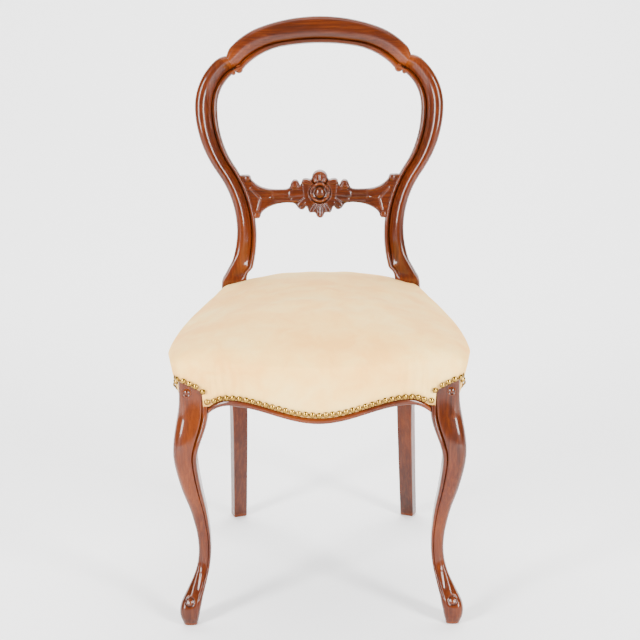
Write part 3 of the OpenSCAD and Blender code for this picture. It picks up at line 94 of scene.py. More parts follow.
# Short names of types. A Spot is a place, a direction or one row of a table
Faces = list[tuple[int, ...]]
Array = np.ndarray
Number = float | Array
Spot = Sequence[float]
Rows = Sequence[Spot]
Piece = bpy.types.Object
Material = bpy.types.Material
Tree = bpy.types.NodeTree
Socket = bpy.types.NodeSocket


class Side(Enum):
    """The two sides of the chair, as seen from the front."""

    LEFT = -1
    RIGHT = 1


class Grain(Enum):
    """Direction of the wood's grain in a piece, as a turn that brings it to Z."""

    UPRIGHT = (0.0, 0.0, 0.0)
    ACROSS = (0.0, math.pi / 2, 0.0)
    DEEP = (math.pi / 2, 0.0, 0.0)


# ---------------------------------------------------------------- numbers and curves


def mix(a: Number, b: Number, s: Number) -> Number:
    """Blend of a and b at the share s."""
    return a + (b - a) * s


def ease(s: Number) -> Number:
    """Smooth step from 0 to 1."""
    t = np.clip(s, 0.0, 1.0)
    return t * t * (3 - 2 * t)


def bell(distance: Number, width: Number) -> Number:
    """Bump of height 1 at 0 that falls off over a width to both sides."""
    return np.exp(-((distance / width) ** 2))


def dome(distance: Number, radius: float) -> Number:
    """Share of a ball's height at a distance from its middle, 0 beyond its radius."""
    return np.sqrt(np.clip(1 - (distance / radius) ** 2, 0, 1))


def hermite(a: Number, b: Number, slope_a: Number, slope_b: Number, s: Number) -> Number:
    """Cubic from a to b that has the given slopes at its ends, at the share s."""
    return (a * (1 + 2 * s) * (1 - s) ** 2 + slope_a * s * (1 - s) ** 2
            + b * s * s * (3 - 2 * s) - slope_b * s * s * (1 - s))


def unit(v: Array) -> Array:
    """Vectors along the last axis at length 1."""
    return v / np.maximum(np.linalg.norm(v, axis=-1, keepdims=True), 1e-12)


def table_at(table: Rows, key: Number, column: int = 1) -> Array:
    """Smooth curve through the rows of a table.

    Args:
        table: rows that start with their key, in rising order.
        key: where to read the curve.
        column: the column to read.

    Returns:
        The value at each key, by cubic pieces.
    """
    rows = np.asarray(table, float)
    keys, values = rows[:, 0], rows[:, column]
    low = np.maximum(np.arange(len(keys)) - 1, 0)
    high = np.minimum(np.arange(len(keys)) + 1, len(keys) - 1)
    slopes = (values[high] - values[low]) / (keys[high] - keys[low])
    i = np.clip(np.searchsorted(keys, key, side="left") - 1, 0, len(keys) - 2)
    span = keys[i + 1] - keys[i]
    s = np.clip((np.asarray(key, float) - keys[i]) / span, 0, 1)
    return hermite(values[i], values[i + 1], slopes[i] * span, slopes[i + 1] * span, s)


def spline(keys: Array, step: float = 0.0, per_span: int = 0, sharp: Iterable[int] = ()) -> Array:
    """Dense rows on a smooth curve through key rows.

    Args:
        keys: rows of points of any shape, one row for each key.
        step: greatest distance between the new rows, in the units of the keys.
        per_span: fixed number of rows for each span, instead of a step.
        sharp: keys where the curve may turn sharply.

    Returns:
        The dense rows, with every key among them.
    """
    keys = np.asarray(keys, float)
    flat, size = keys.reshape(len(keys), -1), keys.shape[-1]
    gaps = np.linalg.norm((keys[1:] - keys[:-1]).reshape(len(keys) - 1, -1, size), axis=-1).mean(1)
    gaps = np.maximum(gaps, 1e-6)
    at = np.concatenate([[0], np.cumsum(gaps)])
    corners = set(sharp) | {0, len(keys) - 1}
    chord = (flat[1:] - flat[:-1]) / gaps[:, None]
    rows = []
    for i in range(len(keys) - 1):
        inner = (flat[i + 1] - flat[i - 1]) / (at[i + 1] - at[i - 1]) if i not in corners else chord[i]
        outer = chord[i] if (i + 1) in corners else (flat[i + 2] - flat[i]) / (at[i + 2] - at[i])
        count = per_span or max(1, math.ceil(gaps[i] / step))
        s = (np.arange(count) / count)[:, None]
        rows.append(hermite(flat[i], flat[i + 1], inner * gaps[i], outer * gaps[i], s))
    rows.append(flat[-1:])
    return np.concatenate(rows).reshape(-1, *keys.shape[1:])


def dense_profile(shares: Rows, sharp: Iterable[int], per_span: int) -> Array:
    """A closed outline of shares, made smooth apart from its sharp corners."""
    loop = np.asarray([*shares, shares[0]], float)
    return spline(loop, per_span=per_span, sharp=sharp)[:-1]


def moved(points: Array, place: Matrix) -> Array:
    """Points carried to their place by a matrix."""
    turn = np.array(place)
    return np.asarray(points) @ turn[:3, :3].T + turn[:3, 3]


# ---------------------------------------------------------------- meshes


def in_scene(name: str, data: bpy.types.ID) -> Piece:
    """A new object in the scene, at the origin."""
    piece = bpy.data.objects.new(name, data)
    bpy.context.scene.collection.objects.link(piece)
    return piece


def store(piece: Piece, name: str, values: Array) -> None:
    """Keep one number for each vertex of a piece."""
    layer = piece.data.attributes.new(name, "FLOAT", "POINT")
    layer.data.foreach_set("value", np.asarray(values, np.float32))


class Shell:
    """Closed meshes in millimetres that become one object."""

    def __init__(self) -> None:
        """Start with no mesh."""
        self.points: list[Array] = []
        self.faces: Faces = []
        self.count = 0

    def add(self, points: Array, faces: Faces) -> "Shell":
        """Add a mesh given by points in millimetres and faces, and return this shell."""
        points = np.asarray(points, float).reshape(-1, 3)
        self.faces += [tuple(i + self.count for i in f) for f in faces]
        self.points.append(points)
        self.count += len(points)
        return self

    def loft(self, rings: Array) -> "Shell":
        """Add a skin through closed rings of equal count, capped at both ends.

        Args:
            rings: the rings, from one end to the other.

        Returns:
            This shell.
        """
        rings = np.asarray(rings, float)
        count, around = rings.shape[:2]
        a = np.arange(count * around).reshape(count, around)
        b = np.roll(a, -1, axis=1)
        quads = np.stack([a[:-1], b[:-1], b[1:], a[1:]], -1).reshape(-1, 4)
        faces: Faces = [tuple(q) for q in quads.tolist()]
        first, last = count * around, (count - 1) * around
        for i in range(around):
            j = (i + 1) % around
            faces += [(first, j, i), (first + 1, last + i, last + j)]
        ends = np.stack([rings[0].mean(0), rings[-1].mean(0)])
        return self.add(np.vstack([rings.reshape(-1, 3), ends]), faces)

    def lathe(self, outline: Rows, place: Matrix, around: int) -> "Shell":
        """Add a turned form.

        Args:
            outline: radius and height of its points, from the axis to the axis.
            place: where its axis stands, in millimetres.
            around: how many faces go round it.

        Returns:
            This shell.
        """
        angle = np.arange(around) * 2 * math.pi / around
        rings = [
            [(max(r, 1e-3) * math.cos(a), max(r, 1e-3) * math.sin(a), h) for a in angle] for r, h in outline
        ]
        return self.loft(moved(rings, place))

    def tube(self, path: Array, radii: Array, around: int) -> "Shell":
        """Add a round bar along a path.

        Args:
            path: the points of its centre line.
            radii: its radius at each point.
            around: how many faces go round it.

        Returns:
            This shell.
        """
        along = unit(np.gradient(np.asarray(path, float), axis=0))
        side = np.cross(along[0], (0.31, 0.17, 0.93))
        a = np.arange(around) * 2 * math.pi / around
        rings = []
        for p, d, r in zip(path, along, radii):
            side = unit(side - d * np.dot(side, d))
            rings.append(p + r * (np.outer(np.cos(a), side) + np.outer(np.sin(a), np.cross(d, side))))
        return self.loft(np.asarray(rings))

    def mirrored(self) -> "Shell":
        """The same meshes on the other side of the chair."""
        points = np.concatenate(self.points) * (-1, 1, 1)
        return Shell().add(points, [tuple(reversed(f)) for f in self.faces])

    def build(self, name: str, sharp_angle: float = 38.0) -> Piece:
        """Make the object.

        Args:
            name: the object's name.
            sharp_angle: faces that meet at more than this many degrees keep their edge.

        Returns:
            The object, with normals that point outwards and its place in its mesh.
        """
        mesh = bpy.data.meshes.new(name)
        points = np.concatenate(self.points) * MM
        mesh.from_pydata(points.tolist(), [], self.faces)
        shape = bmesh.new()
        shape.from_mesh(mesh)
        bmesh.ops.remove_doubles(shape, verts=shape.verts, dist=1e-6)
        bmesh.ops.recalc_face_normals(shape, faces=shape.faces)
        shape.to_mesh(mesh)
        shape.free()
        mesh.shade_smooth()
        mesh.set_sharp_from_angle(angle=math.radians(sharp_angle))
        return in_scene(name, mesh)


def read_points(mesh: bpy.types.Mesh, kind: str = "co") -> Array:
    """Points or normals of a mesh's vertices as rows."""
    values = np.zeros(len(mesh.vertices) * 3, np.float32)
    if kind == "co":
        mesh.vertices.foreach_get("co", values)
    else:
        mesh.vertex_normals.foreach_get("vector", values)
    return values.reshape(-1, 3).astype(float)


def mark_relief(piece: Piece, passes: int = 14) -> None:
    """Store how hollow the surface is at each vertex, for dark polish and painted shade in grooves and wear on
    ridges.

    Args:
        piece: the object, whose mesh gets the attribute "hollow" in tenths of a millimetre.
        passes: how far round each vertex the form is looked at.
    """
    mesh = piece.data
    points, normals = read_points(mesh), read_points(mesh, "normal")
    edges = np.zeros(len(mesh.edges) * 2, np.int32)
    mesh.edges.foreach_get("vertices", edges)
    a, b = edges.reshape(-1, 2).T
    both, other = np.concatenate([a, b]), np.concatenate([b, a])
    degree = np.maximum(np.bincount(both, minlength=len(points)), 1)[:, None]
    smooth = points.copy()
    for _ in range(passes):
        total = np.stack([np.bincount(both, smooth[other, c], len(points)) for c in range(3)], 1)
        smooth = 0.5 * smooth + 0.5 * total / degree
    store(piece, "hollow", ((smooth - points) * normals).sum(1) / (0.1 * MM))


def finish_piece(
    piece: Piece, material: Material, nodes: Sequence[str], note: str = ""
) -> None:
    """Dress a piece and put it on the chair's body.

    Args:
        piece: the object.
        material: its material.
        nodes: the CAD nodes that it stands for.
        note: a remark for the log.
    """
    piece.data.materials.clear()
    piece.data.materials.append(material)
    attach(piece, "root")
    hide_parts(*nodes)
    LOG.info("%s: %d faces, stands for %s %s", piece.name, len(piece.data.polygons), ", ".join(nodes), note)


# ---------------------------------------------------------------- materials


def linear(code: str) -> tuple[float, float, float, float]:
    """An sRGB hex colour as linear red, green, blue and alpha."""
    parts = [int(code[i : i + 2], 16) / 255 for i in (1, 3, 5)]
    return (*[p / 12.92 if p <= 0.04045 else ((p + 0.055) / 1.055) ** 2.4 for p in parts], 1.0)


def add(tree: Tree, kind: str, inputs: dict | None = None, **settings) -> bpy.types.Node:
    """Add a node.

    Args:
        tree: the tree that gets it.
        kind: the node's type name.
        inputs: values or sockets for its inputs, by name or number.
        settings: its own properties.

    Returns:
        The node.
    """
    node = tree.nodes.new(kind)
    for key, value in settings.items():
        setattr(node, key, value)
    for key, value in (inputs or {}).items():
        if isinstance(value, bpy.types.NodeSocket):
            tree.links.new(value, node.inputs[key])
        else:
            node.inputs[key].default_value = value
    return node


class Painter:
    """Adds the nodes that the finishes share to a material's tree."""

    def __init__(self, tree: Tree) -> None:
        """Start on an empty tree."""
        self.tree = tree

    def put(self, kind: str, inputs: dict, out: int | str = 0, **settings) -> Socket:
        """Add a shader node.

        Args:
            kind: the node's type name after "ShaderNode".
            inputs: values or sockets for its inputs.
            out: which output to give.
            settings: its own properties.

        Returns:
            The output.
        """
        return add(self.tree, f"ShaderNode{kind}", inputs, **settings).outputs[out]

    def place(self) -> Socket:
        """Object coordinates, in metres."""
        return self.put("TexCoord", {}, "Object")

    def attribute(self, name: str) -> Socket:
        """A number stored on the mesh."""
        return self.put("Attribute", {}, "Fac", attribute_name=name)

    def scaled(self, at: Socket, scale: Spot) -> Socket:
        """Coordinates times a scale."""
        return self.put("Mapping", {"Vector": at, "Scale": scale})

    def turned(self, grain: Grain) -> Socket:
        """Object coordinates with the grain along Z."""
        return self.put("Mapping", {"Vector": self.place(), "Rotation": grain.value})

    def noise(self, at: Socket, scale: float = 1.0, detail: float = 2.0, **more: float) -> Socket:
        """Noise from 0 to 1."""
        return self.put("TexNoise", {"Vector": at, "Scale": scale, "Detail": detail, **more}, "Fac")

    def ramp(self, share: Socket, *stops: tuple[float, str]) -> Socket:
        """A colour ramp through hex colours."""
        node = add(self.tree, "ShaderNodeValToRGB", {"Fac": share})
        elements = node.color_ramp.elements
        while len(elements) < len(stops):
            elements.new(0.5)
        for element, (place, code) in zip(elements, stops):
            element.position = place
            element.color = linear(code)
        return node.outputs["Color"]

    def blend(self, share: Socket | float, low: Socket | str, high: Socket | str) -> Socket:
        """A colour that goes from one to another with a share."""
        low, high = (linear(c) if isinstance(c, str) else c for c in (low, high))
        return self.put("Mix", {0: share, 6: low, 7: high}, 2, data_type="RGBA")

    def math(self, operation: str, *values: Socket | float) -> Socket:
        """A sum of numbers."""
        return self.put("Math", dict(enumerate(values)), operation=operation)

    def span(self, value: Socket, *ends: float) -> Socket:
        """A value brought from one range, given first, to another."""
        return self.put("MapRange", {0: value, **dict(enumerate(ends, 1))})

    def surface(self, colour: Socket, rough: Socket | float, height: Socket, strength: float, depth: float,
                **more: object) -> Socket:
        """The shader of a rough surface with fine relief.

        Args:
            colour: its colour.
            rough: its roughness.
            height: the relief.
            strength: how much of the relief shows.
            depth: the relief's depth in metres.
            more: further inputs of the shader, with _ for a space.

        Returns:
            The shader's output.
        """
        bump = self.put("Bump", {"Strength": strength, "Distance": depth, "Height": height})
        given = {name.replace("_", " "): value for name, value in more.items()}
        return self.put("BsdfPrincipled", {"Base Color": colour, "Roughness": rough, "Normal": bump, **given})


class Finish:
    """A material that is built once and then shared."""

    TITLE = ""
    built: dict[str, Material] = {}

    def material(self) -> Material:
        """The finish's material, built on first use."""
        key = repr(self)
        if key not in Finish.built:
            made = bpy.data.materials.new(self.TITLE.format(self).lower())
            made.use_nodes = True
            made.node_tree.nodes.clear()
            surface = self.shade(Painter(made.node_tree))
            add(made.node_tree, "ShaderNodeOutputMaterial", {"Surface": surface})
            Finish.built[key] = made
        return Finish.built[key]

    def shade(self, paint: Painter) -> Socket:
        """Build the nodes and return the shader."""
        raise NotImplementedError


@dataclass(frozen=True)
class FrenchPolishedMahogany(Finish):
    """Solid mahogany, carved, stained and French polished.

    Close, straight grain with short dark pores, a slow change of tone along the plank, dark polish and
    painted shade in the quirks and rubbed, lighter ridges under a clear, glossy skin of shellac.
    """

    TITLE = "french_polished_mahogany_{0.grain.name}"
    grain: Grain = Grain.UPRIGHT
    deep: str = "#230B02"
    body: str = "#4B1A02"
    light: str = "#733407"
    # Colour of the pores, and of the dark polish and painted shade in the hollows
    quirk: str = "#0C0401"
    grain_width: float = 3.2
    grain_length: float = 30
    pore_width: float = 0.55
    pore_length: float = 14.0

    def shade(self, paint: Painter) -> Socket:
        """Build the nodes and return the shader."""
        turned = paint.turned(self.grain)
        drift = paint.put("TexNoise", {"Vector": turned, "Scale": 9.0, "Detail": 2.0}, "Color")
        bent = paint.put("Mix", {0: 0.012, 4: turned, 5: drift}, 1, data_type="VECTOR")
        across = 1 / (self.grain_width * MM)
        grain_at = paint.scaled(bent, (across, across, across / self.grain_length))
        grain = paint.noise(grain_at, detail=5.0, Roughness=0.55, Distortion=0.35)
        tone = paint.ramp(grain, (0.26, self.deep), (0.5, self.body), (0.78, self.light))
        plank = paint.noise(paint.scaled(turned, (16, 16, 4.5)))
        slow = paint.ramp(plank, (0.3, self.deep), (0.55, self.body), (0.74, self.light))
        pore = 1 / (self.pore_width * MM)
        pores = paint.noise(paint.scaled(bent, (pore, pore, 1 / (self.pore_length * MM))), detail=1.0)
        mask = paint.ramp(pores, (0.6, "#000000"), (0.72, "#FFFFFF"))
        pored = paint.blend(paint.math("MULTIPLY", mask, 0.42), paint.blend(0.55, tone, slow), self.quirk)
        hollow = paint.attribute("hollow")
        # Painted shade: hollows darken towards the quirk colour, for dark polish and for the shade in the grooves
        grimed_and_shaded = paint.blend(paint.span(hollow, 0.7, 7.0, 0.0, 0.86), pored, self.quirk)
        rubbed = paint.blend(paint.span(hollow, -0.8, -6.0, 0.0, 0.45), grimed_and_shaded, self.light)
        skin = paint.noise(paint.place(), 140.0)
        relief = paint.math("MULTIPLY_ADD", mask, -0.5, skin)
        return paint.surface(rubbed, paint.span(skin, 0, 1, 0.26, 0.44), relief, 0.12, 0.0004,
                             Specular_IOR_Level=0.12, Coat_Weight=0.6, Coat_Roughness=0.08, Coat_IOR=1.43)


@dataclass(frozen=True)
class PlainBeech(Finish):
    """Sawn and planed beech, oiled by age, for the parts inside the seat.

    Pale brown with fine flecks and faint growth bands, matt.
    """

    TITLE = "aged_beech_{0.grain.name}"
    grain: Grain = Grain.ACROSS
    dark: str = "#9A744A"
    light: str = "#CFAE80"
    fleck: str = "#7A5430"

    def shade(self, paint: Painter) -> Socket:
        """Build the nodes and return the shader."""
        turned = paint.turned(self.grain)
        band = paint.noise(paint.scaled(turned, (240, 240, 9)), detail=4.0, Distortion=0.4)
        tone = paint.ramp(band, (0.3, self.dark), (0.7, self.light))
        fleck = paint.noise(paint.scaled(turned, (1500, 1500, 260)))
        colour = paint.blend(paint.span(fleck, 0.6, 0.72, 0.0, 0.4), tone, self.fleck)
        return paint.surface(colour, paint.span(band, 0, 1, 0.52, 0.72), fleck, 0.25, 0.0004, IOR=1.45)


@dataclass(frozen=True)
class BrushedSuedeCloth(Finish):
    """Cream upholstery cloth with a short brushed nap, like suede.

    The nap lies in soft patches that catch the light differently, with a fine fibre grain and a warm
    sheen at grazing angles. Painted shade darkens the cloth round the nails and, a little, on the top.
    """

    TITLE = "brushed_suede_cloth"
    low: str = "#FBBA58"
    body: str = "#FFCA6A"
    high: str = "#FFD67E"
    speck: str = "#C79A62"
    # Colour of the painted shade round the nails and on the top
    soil: str = "#9A6A34"
    sheen: str = "#FFF1D8"
    patch: float = 34.0
    fibre: float = 1.3

    def shade(self, paint: Painter) -> Socket:
        """Build the nodes and return the shader."""
        place = paint.place()
        patch = paint.noise(paint.scaled(place, (1 / (self.patch * MM),) * 3), detail=3.0, Distortion=0.6)
        both = paint.math("ADD", patch, paint.noise(place, 11.0, 1.0))
        nap = paint.ramp(paint.span(both, 0.75, 1.3), (0.0, self.low), (0.5, self.body), (1.0, self.high))
        fibre = paint.noise(paint.scaled(place, (1 / (self.fibre * MM),) * 3), detail=3.0)
        specked = paint.blend(paint.span(fibre, 0.35, 0.65, 0.1, 0.0), nap, self.speck)
        # Painted shade: brown mixed in where the stored shade is, as shadow between the nails and a darker top
        shaded_nap = paint.blend(paint.math("MULTIPLY", paint.attribute("soil"), 0.62), specked, self.soil)
        thread = paint.put("TexWave", {"Vector": place, "Scale": 260.0, "Distortion": 2.0, "Detail": 2.0}, "Fac")
        relief = paint.math("MULTIPLY_ADD", thread, 0.35, fibre)
        return paint.surface(shaded_nap, 0.86, relief, 0.35, 0.0005, IOR=1.45, Sheen_Weight=0.12,
                             Sheen_Roughness=0.45, Sheen_Tint=linear(self.sheen))


@dataclass(frozen=True)
class AntiqueBrass(Finish):
    """Pressed brass nail heads, lacquered dark and rubbed bright on the crowns.

    Warm bright crowns, brown lacquer round the rims and a slightly uneven gloss.
    """

    TITLE = "antique_brass"
    bright: str = "#AD8534"
    aged: str = "#3A260B"

    def shade(self, paint: Painter) -> Socket:
        """Build the nodes and return the shader."""
        spots = paint.noise(paint.place(), 420.0, 3.0)
        share = paint.span(paint.math("MULTIPLY", paint.attribute("rim"), spots), 0.1, 0.55, 0.05, 1.0)
        colour, rough = paint.blend(share, self.bright, self.aged), paint.span(share, 0, 1, 0.2, 0.42)
        return paint.surface(colour, rough, spots, 0.2, 0.0002, Metallic=1.0)


@dataclass(frozen=True)
class Steel(Finish):
    """Drawn or cut steel, dulled by a thin dark oxide.

    Grey with brown spots, half matt, with lighter rubbed places.
    """

    TITLE = "dulled_steel_{0.use}"
    use: str = "wire"
    dark: str = "#3C3836"
    light: str = "#8E8F90"

    def shade(self, paint: Painter) -> Socket:
        """Build the nodes and return the shader."""
        spots = paint.noise(paint.place(), 160.0, 5.0)
        colour = paint.ramp(spots, (0.38, self.dark), (0.62, self.light))
        return paint.surface(colour, paint.span(spots, 0, 1, 0.55, 0.3), spots, 0.2, 0.0002, Metallic=0.9)


@dataclass(frozen=True)
class WovenCloth(Finish):
    """Plain cloth woven from spun yarn: webbing, hessian or dust cloth.

    Warp and weft show as a fine relief, with slubs in the yarn and, on webbing, dark selvedge stripes.
    The yarns follow the piece's UV map, which is in metres.
    """

    TITLE = "woven_{0.use}"
    use: str = "webbing"
    dark: str = "#7F5F36"
    light: str = "#C4A06A"
    yarn: float = 1.6
    relief: float = 0.6
    stripe: str = ""
    stripe_at: float = 17.5
    stripe_half: float = 2.2

    def shade(self, paint: Painter) -> Socket:
        """Build the nodes and return the shader."""
        place, pitch = paint.put("UVMap", {}), 1 / (self.yarn * MM)
        flat = paint.scaled(place, (pitch, pitch, 1))
        slub = paint.noise(paint.scaled(place, (pitch, pitch / 12, 1)), detail=3.0)
        warp, weft = (
            paint.put("TexWave", {"Vector": flat, "Scale": 0.5, "Distortion": 0.4}, "Fac", bands_direction=way)
            for way in "XY"
        )
        check = paint.put("TexChecker", {"Vector": flat, "Scale": 1.0}, "Fac")
        yarns = paint.math("MULTIPLY", paint.put("Mix", {0: check, 2: warp, 3: weft}, data_type="FLOAT"), slub)
        colour = paint.ramp(yarns, (0.08, self.dark), (0.6, self.light))
        if self.stripe:
            off = paint.math("ABSOLUTE", paint.put("SeparateXYZ", {"Vector": place}))
            near = paint.math("COMPARE", off, self.stripe_at * MM, self.stripe_half * MM)
            colour = paint.blend(near, colour, self.stripe)
        return paint.surface(colour, 0.9, yarns, self.relief, 0.0006, IOR=1.45, Sheen_Weight=0.12)


@dataclass(frozen=True)
class HairStuffing(Finish):
    """Curled hair under cotton wadding, teased out by hand.

    A matted tangle of fibres, off-white with darker hairs.
    """

    TITLE = "hair_and_wadding"
    dark: str = "#8B7552"
    light: str = "#E4D6B8"

    def shade(self, paint: Painter) -> Socket:
        """Build the nodes and return the shader."""
        tangle = paint.noise(paint.place(), 160.0, 6.0, Distortion=4.0)
        colour = paint.ramp(tangle, (0.35, self.dark), (0.6, self.light))
        return paint.surface(colour, 0.95, tangle, 0.7, 0.002, IOR=1.45)


@dataclass(frozen=True)
class HempCord(Finish):
    """Laid hemp cord, twisted from three strands.

    Buff with darker fibre specks, matt.
    """

    TITLE = "laid_hemp_cord"
    dark: str = "#7C633D"
    light: str = "#C2A677"

    def shade(self, paint: Painter) -> Socket:
        """Build the nodes and return the shader."""
        fibre = paint.noise(paint.place(), 900.0, 3.0)
        colour = paint.ramp(fibre, (0.35, self.dark), (0.65, self.light))
        return paint.surface(colour, 0.88, fibre, 0.5, 0.0003, IOR=1.45)


@dataclass(frozen=True)
class StudioPaper(Finish):
    """Matt white background paper: even white that takes a soft shadow."""

    TITLE = "white_studio_paper"
    paper: str = "#FBFBFB"
    glow: float = 0.16

    def shade(self, paint: Painter) -> Socket:
        """Build the nodes and return the shader."""
        return paint.put("BsdfPrincipled", {
            "Base Color": linear(self.paper), "Roughness": 0.9, "Specular IOR Level": 0.1,
            "Emission Color": linear("#FFFFFF"), "Emission Strength": self.glow,
        })


# ---------------------------------------------------------------- geometry node trees


class NodeTool:
    """A geometry node tree with named inputs, run on a mesh and baked."""

    def __init__(self, title: str, **inputs: str) -> None:
        """Make the tree and its inputs.

        Args:
            title: the tree's name.
            inputs: socket type of each named input, with _ for a space in its name.
        """
        self.tree = bpy.data.node_groups.new(title, "GeometryNodeTree")
        face, names = self.tree.interface, {n.replace("_", " "): t for n, t in inputs.items()}
        face.new_socket("Geometry", in_out="INPUT", socket_type="NodeSocketGeometry")
        face.new_socket("Geometry", in_out="OUTPUT", socket_type="NodeSocketGeometry")
        self.ids = {
            n: face.new_socket(n, in_out="INPUT", socket_type=f"NodeSocket{t}").identifier
            for n, t in names.items()
        }
        self.given = add(self.tree, "NodeGroupInput").outputs

    def put(self, kind: str, inputs: dict, out: int | str = 0, **settings) -> Socket:
        """Add a node and return one of its outputs."""
        return add(self.tree, kind, inputs, **settings).outputs[out]

    def math(self, operation: str, *values: Socket | float) -> Socket:
        """A sum of numbers."""
        return self.put("ShaderNodeMath", dict(enumerate(values)), operation=operation)

    def close(self, geometry: Socket) -> None:
        """Realize the instances, set the material and end the tree."""
        real = self.put("GeometryNodeRealizeInstances", {0: geometry})
        dressed = self.put("GeometryNodeSetMaterial", {"Geometry": real, "Material": self.given["Finish"]})
        add(self.tree, "NodeGroupOutput", {0: dressed})

    def bake(self, piece: Piece, **values: object) -> None:
        """Run the tree on a piece and keep the result as its plain mesh.

        Args:
            piece: the object whose mesh goes in, and which gets the result.
            values: value of each named input, with _ for a space in its name.
        """
        run = piece.modifiers.new(self.tree.name, "NODES")
        run.node_group = self.tree
        for name, value in values.items():
            run[self.ids[name.replace("_", " ")]] = value
        bpy.context.view_layer.update()
        graph = bpy.context.evaluated_depsgraph_get()
        made = bpy.data.meshes.new_from_object(piece.evaluated_get(graph))
        piece.modifiers.remove(run)
        piece.data = made
        made.name = piece.name


def fastener_tool() -> NodeTool:
    """A tree that sets a head on each point, square to the attribute "heading", with its own turn."""
    tool = NodeTool("fasteners_on_points", Head="Object", Head_diameter="Float", Uneven_size="Float", Seed="Int",
                    Finish="Material")
    given, put = tool.given, tool.put
    heading = put("GeometryNodeInputNamedAttribute", {"Name": "heading"}, data_type="FLOAT_VECTOR")
    square = put("FunctionNodeAlignRotationToVector", {"Vector": heading}, axis="Z")
    least_turn, most_turn = (-0.05, -0.05, 0.0), (0.05, 0.05, 6.28)
    spin = put("FunctionNodeRandomValue", {0: least_turn, 1: most_turn, "Seed": given["Seed"]},
               data_type="FLOAT_VECTOR")
    turn = put("FunctionNodeEulerToRotation", {0: spin})
    turned = put("FunctionNodeRotateRotation", {0: square, 1: turn}, rotation_space="LOCAL")
    least = tool.math("SUBTRACT", 1.0, given["Uneven size"])
    vary = put("FunctionNodeRandomValue", {2: least, 3: 1.0, "Seed": given["Seed"]}, 1, data_type="FLOAT")
    size = tool.math("MULTIPLY", vary, given["Head diameter"])
    head = put("GeometryNodeObjectInfo", {"Object": given["Head"]}, "Geometry")
    tool.close(put("GeometryNodeInstanceOnPoints", {"Points": given["Geometry"], "Instance": head,
                                                    "Rotation": turned, "Scale": size}))
    return tool


def bar_tool() -> NodeTool:
    """A tree that runs a lobed, twisted bar along the edges of a mesh: wire or cord."""
    tool = NodeTool("bar_along_path", Radius="Float", Lobe_depth="Float", Lobes="Int", Twist_per_metre="Float",
                    Spacing="Float", Faces_round="Int", Finish="Material")
    given, put = tool.given, tool.put
    line = put("GeometryNodeMeshToCurve", {0: given["Geometry"]})
    even = put("GeometryNodeResampleCurve", {"Curve": line, "Length": given["Spacing"]}, mode="LENGTH")
    far = put("GeometryNodeSplineParameter", {}, "Length")
    tilt = tool.math("MULTIPLY", far, given["Twist per metre"])
    tilted = put("GeometryNodeSetCurveTilt", {"Curve": even, "Tilt": tilt})
    ring = put("GeometryNodeCurvePrimitiveCircle",
               {"Resolution": given["Faces round"], "Radius": given["Radius"]})
    spot = put("GeometryNodeInputPosition", {})
    parts = add(tool.tree, "ShaderNodeSeparateXYZ", {"Vector": spot}).outputs
    lobed = tool.math("MULTIPLY", tool.math("ARCTAN2", parts[1], parts[0]), given["Lobes"])
    swell = tool.math("MULTIPLY_ADD", tool.math("COSINE", lobed), given["Lobe depth"], 1.0)
    shaped = put("ShaderNodeVectorMath", {0: spot, "Scale": swell}, operation="SCALE")
    profile = put("GeometryNodeSetPosition", {"Geometry": ring, "Position": shaped})
    body = put("GeometryNodeCurveToMesh", {"Curve": tilted, "Profile Curve": profile, "Fill Caps": True})
    tool.close(put("GeometryNodeSetShadeSmooth", {0: body}))
    return tool


def path_object(name: str, paths: Sequence[Array]) -> Piece:
    """An object whose mesh is lines along paths given in millimetres."""
    mesh = bpy.data.meshes.new(name)
    points, edges, start = [], [], 0
    for path in paths:
        points += (np.asarray(path, float) * MM).tolist()
        edges += [(start + i, start + i + 1) for i in range(len(path) - 1)]
        start += len(path)
    mesh.from_pydata(points, edges, [])
    return in_scene(name, mesh)


def spot_object(name: str, spots: Array, headings: Array) -> Piece:
    """An object whose mesh is points in millimetres with the attribute "heading"."""
    mesh = bpy.data.meshes.new(name)
    mesh.from_pydata((np.asarray(spots, float) * MM).tolist(), [], [])
    layer = mesh.attributes.new("heading", "FLOAT_VECTOR", "POINT")
    layer.data.foreach_set("vector", np.asarray(headings, np.float32).ravel())
    return in_scene(name, mesh)


# ---------------------------------------------------------------- sizes of the chair


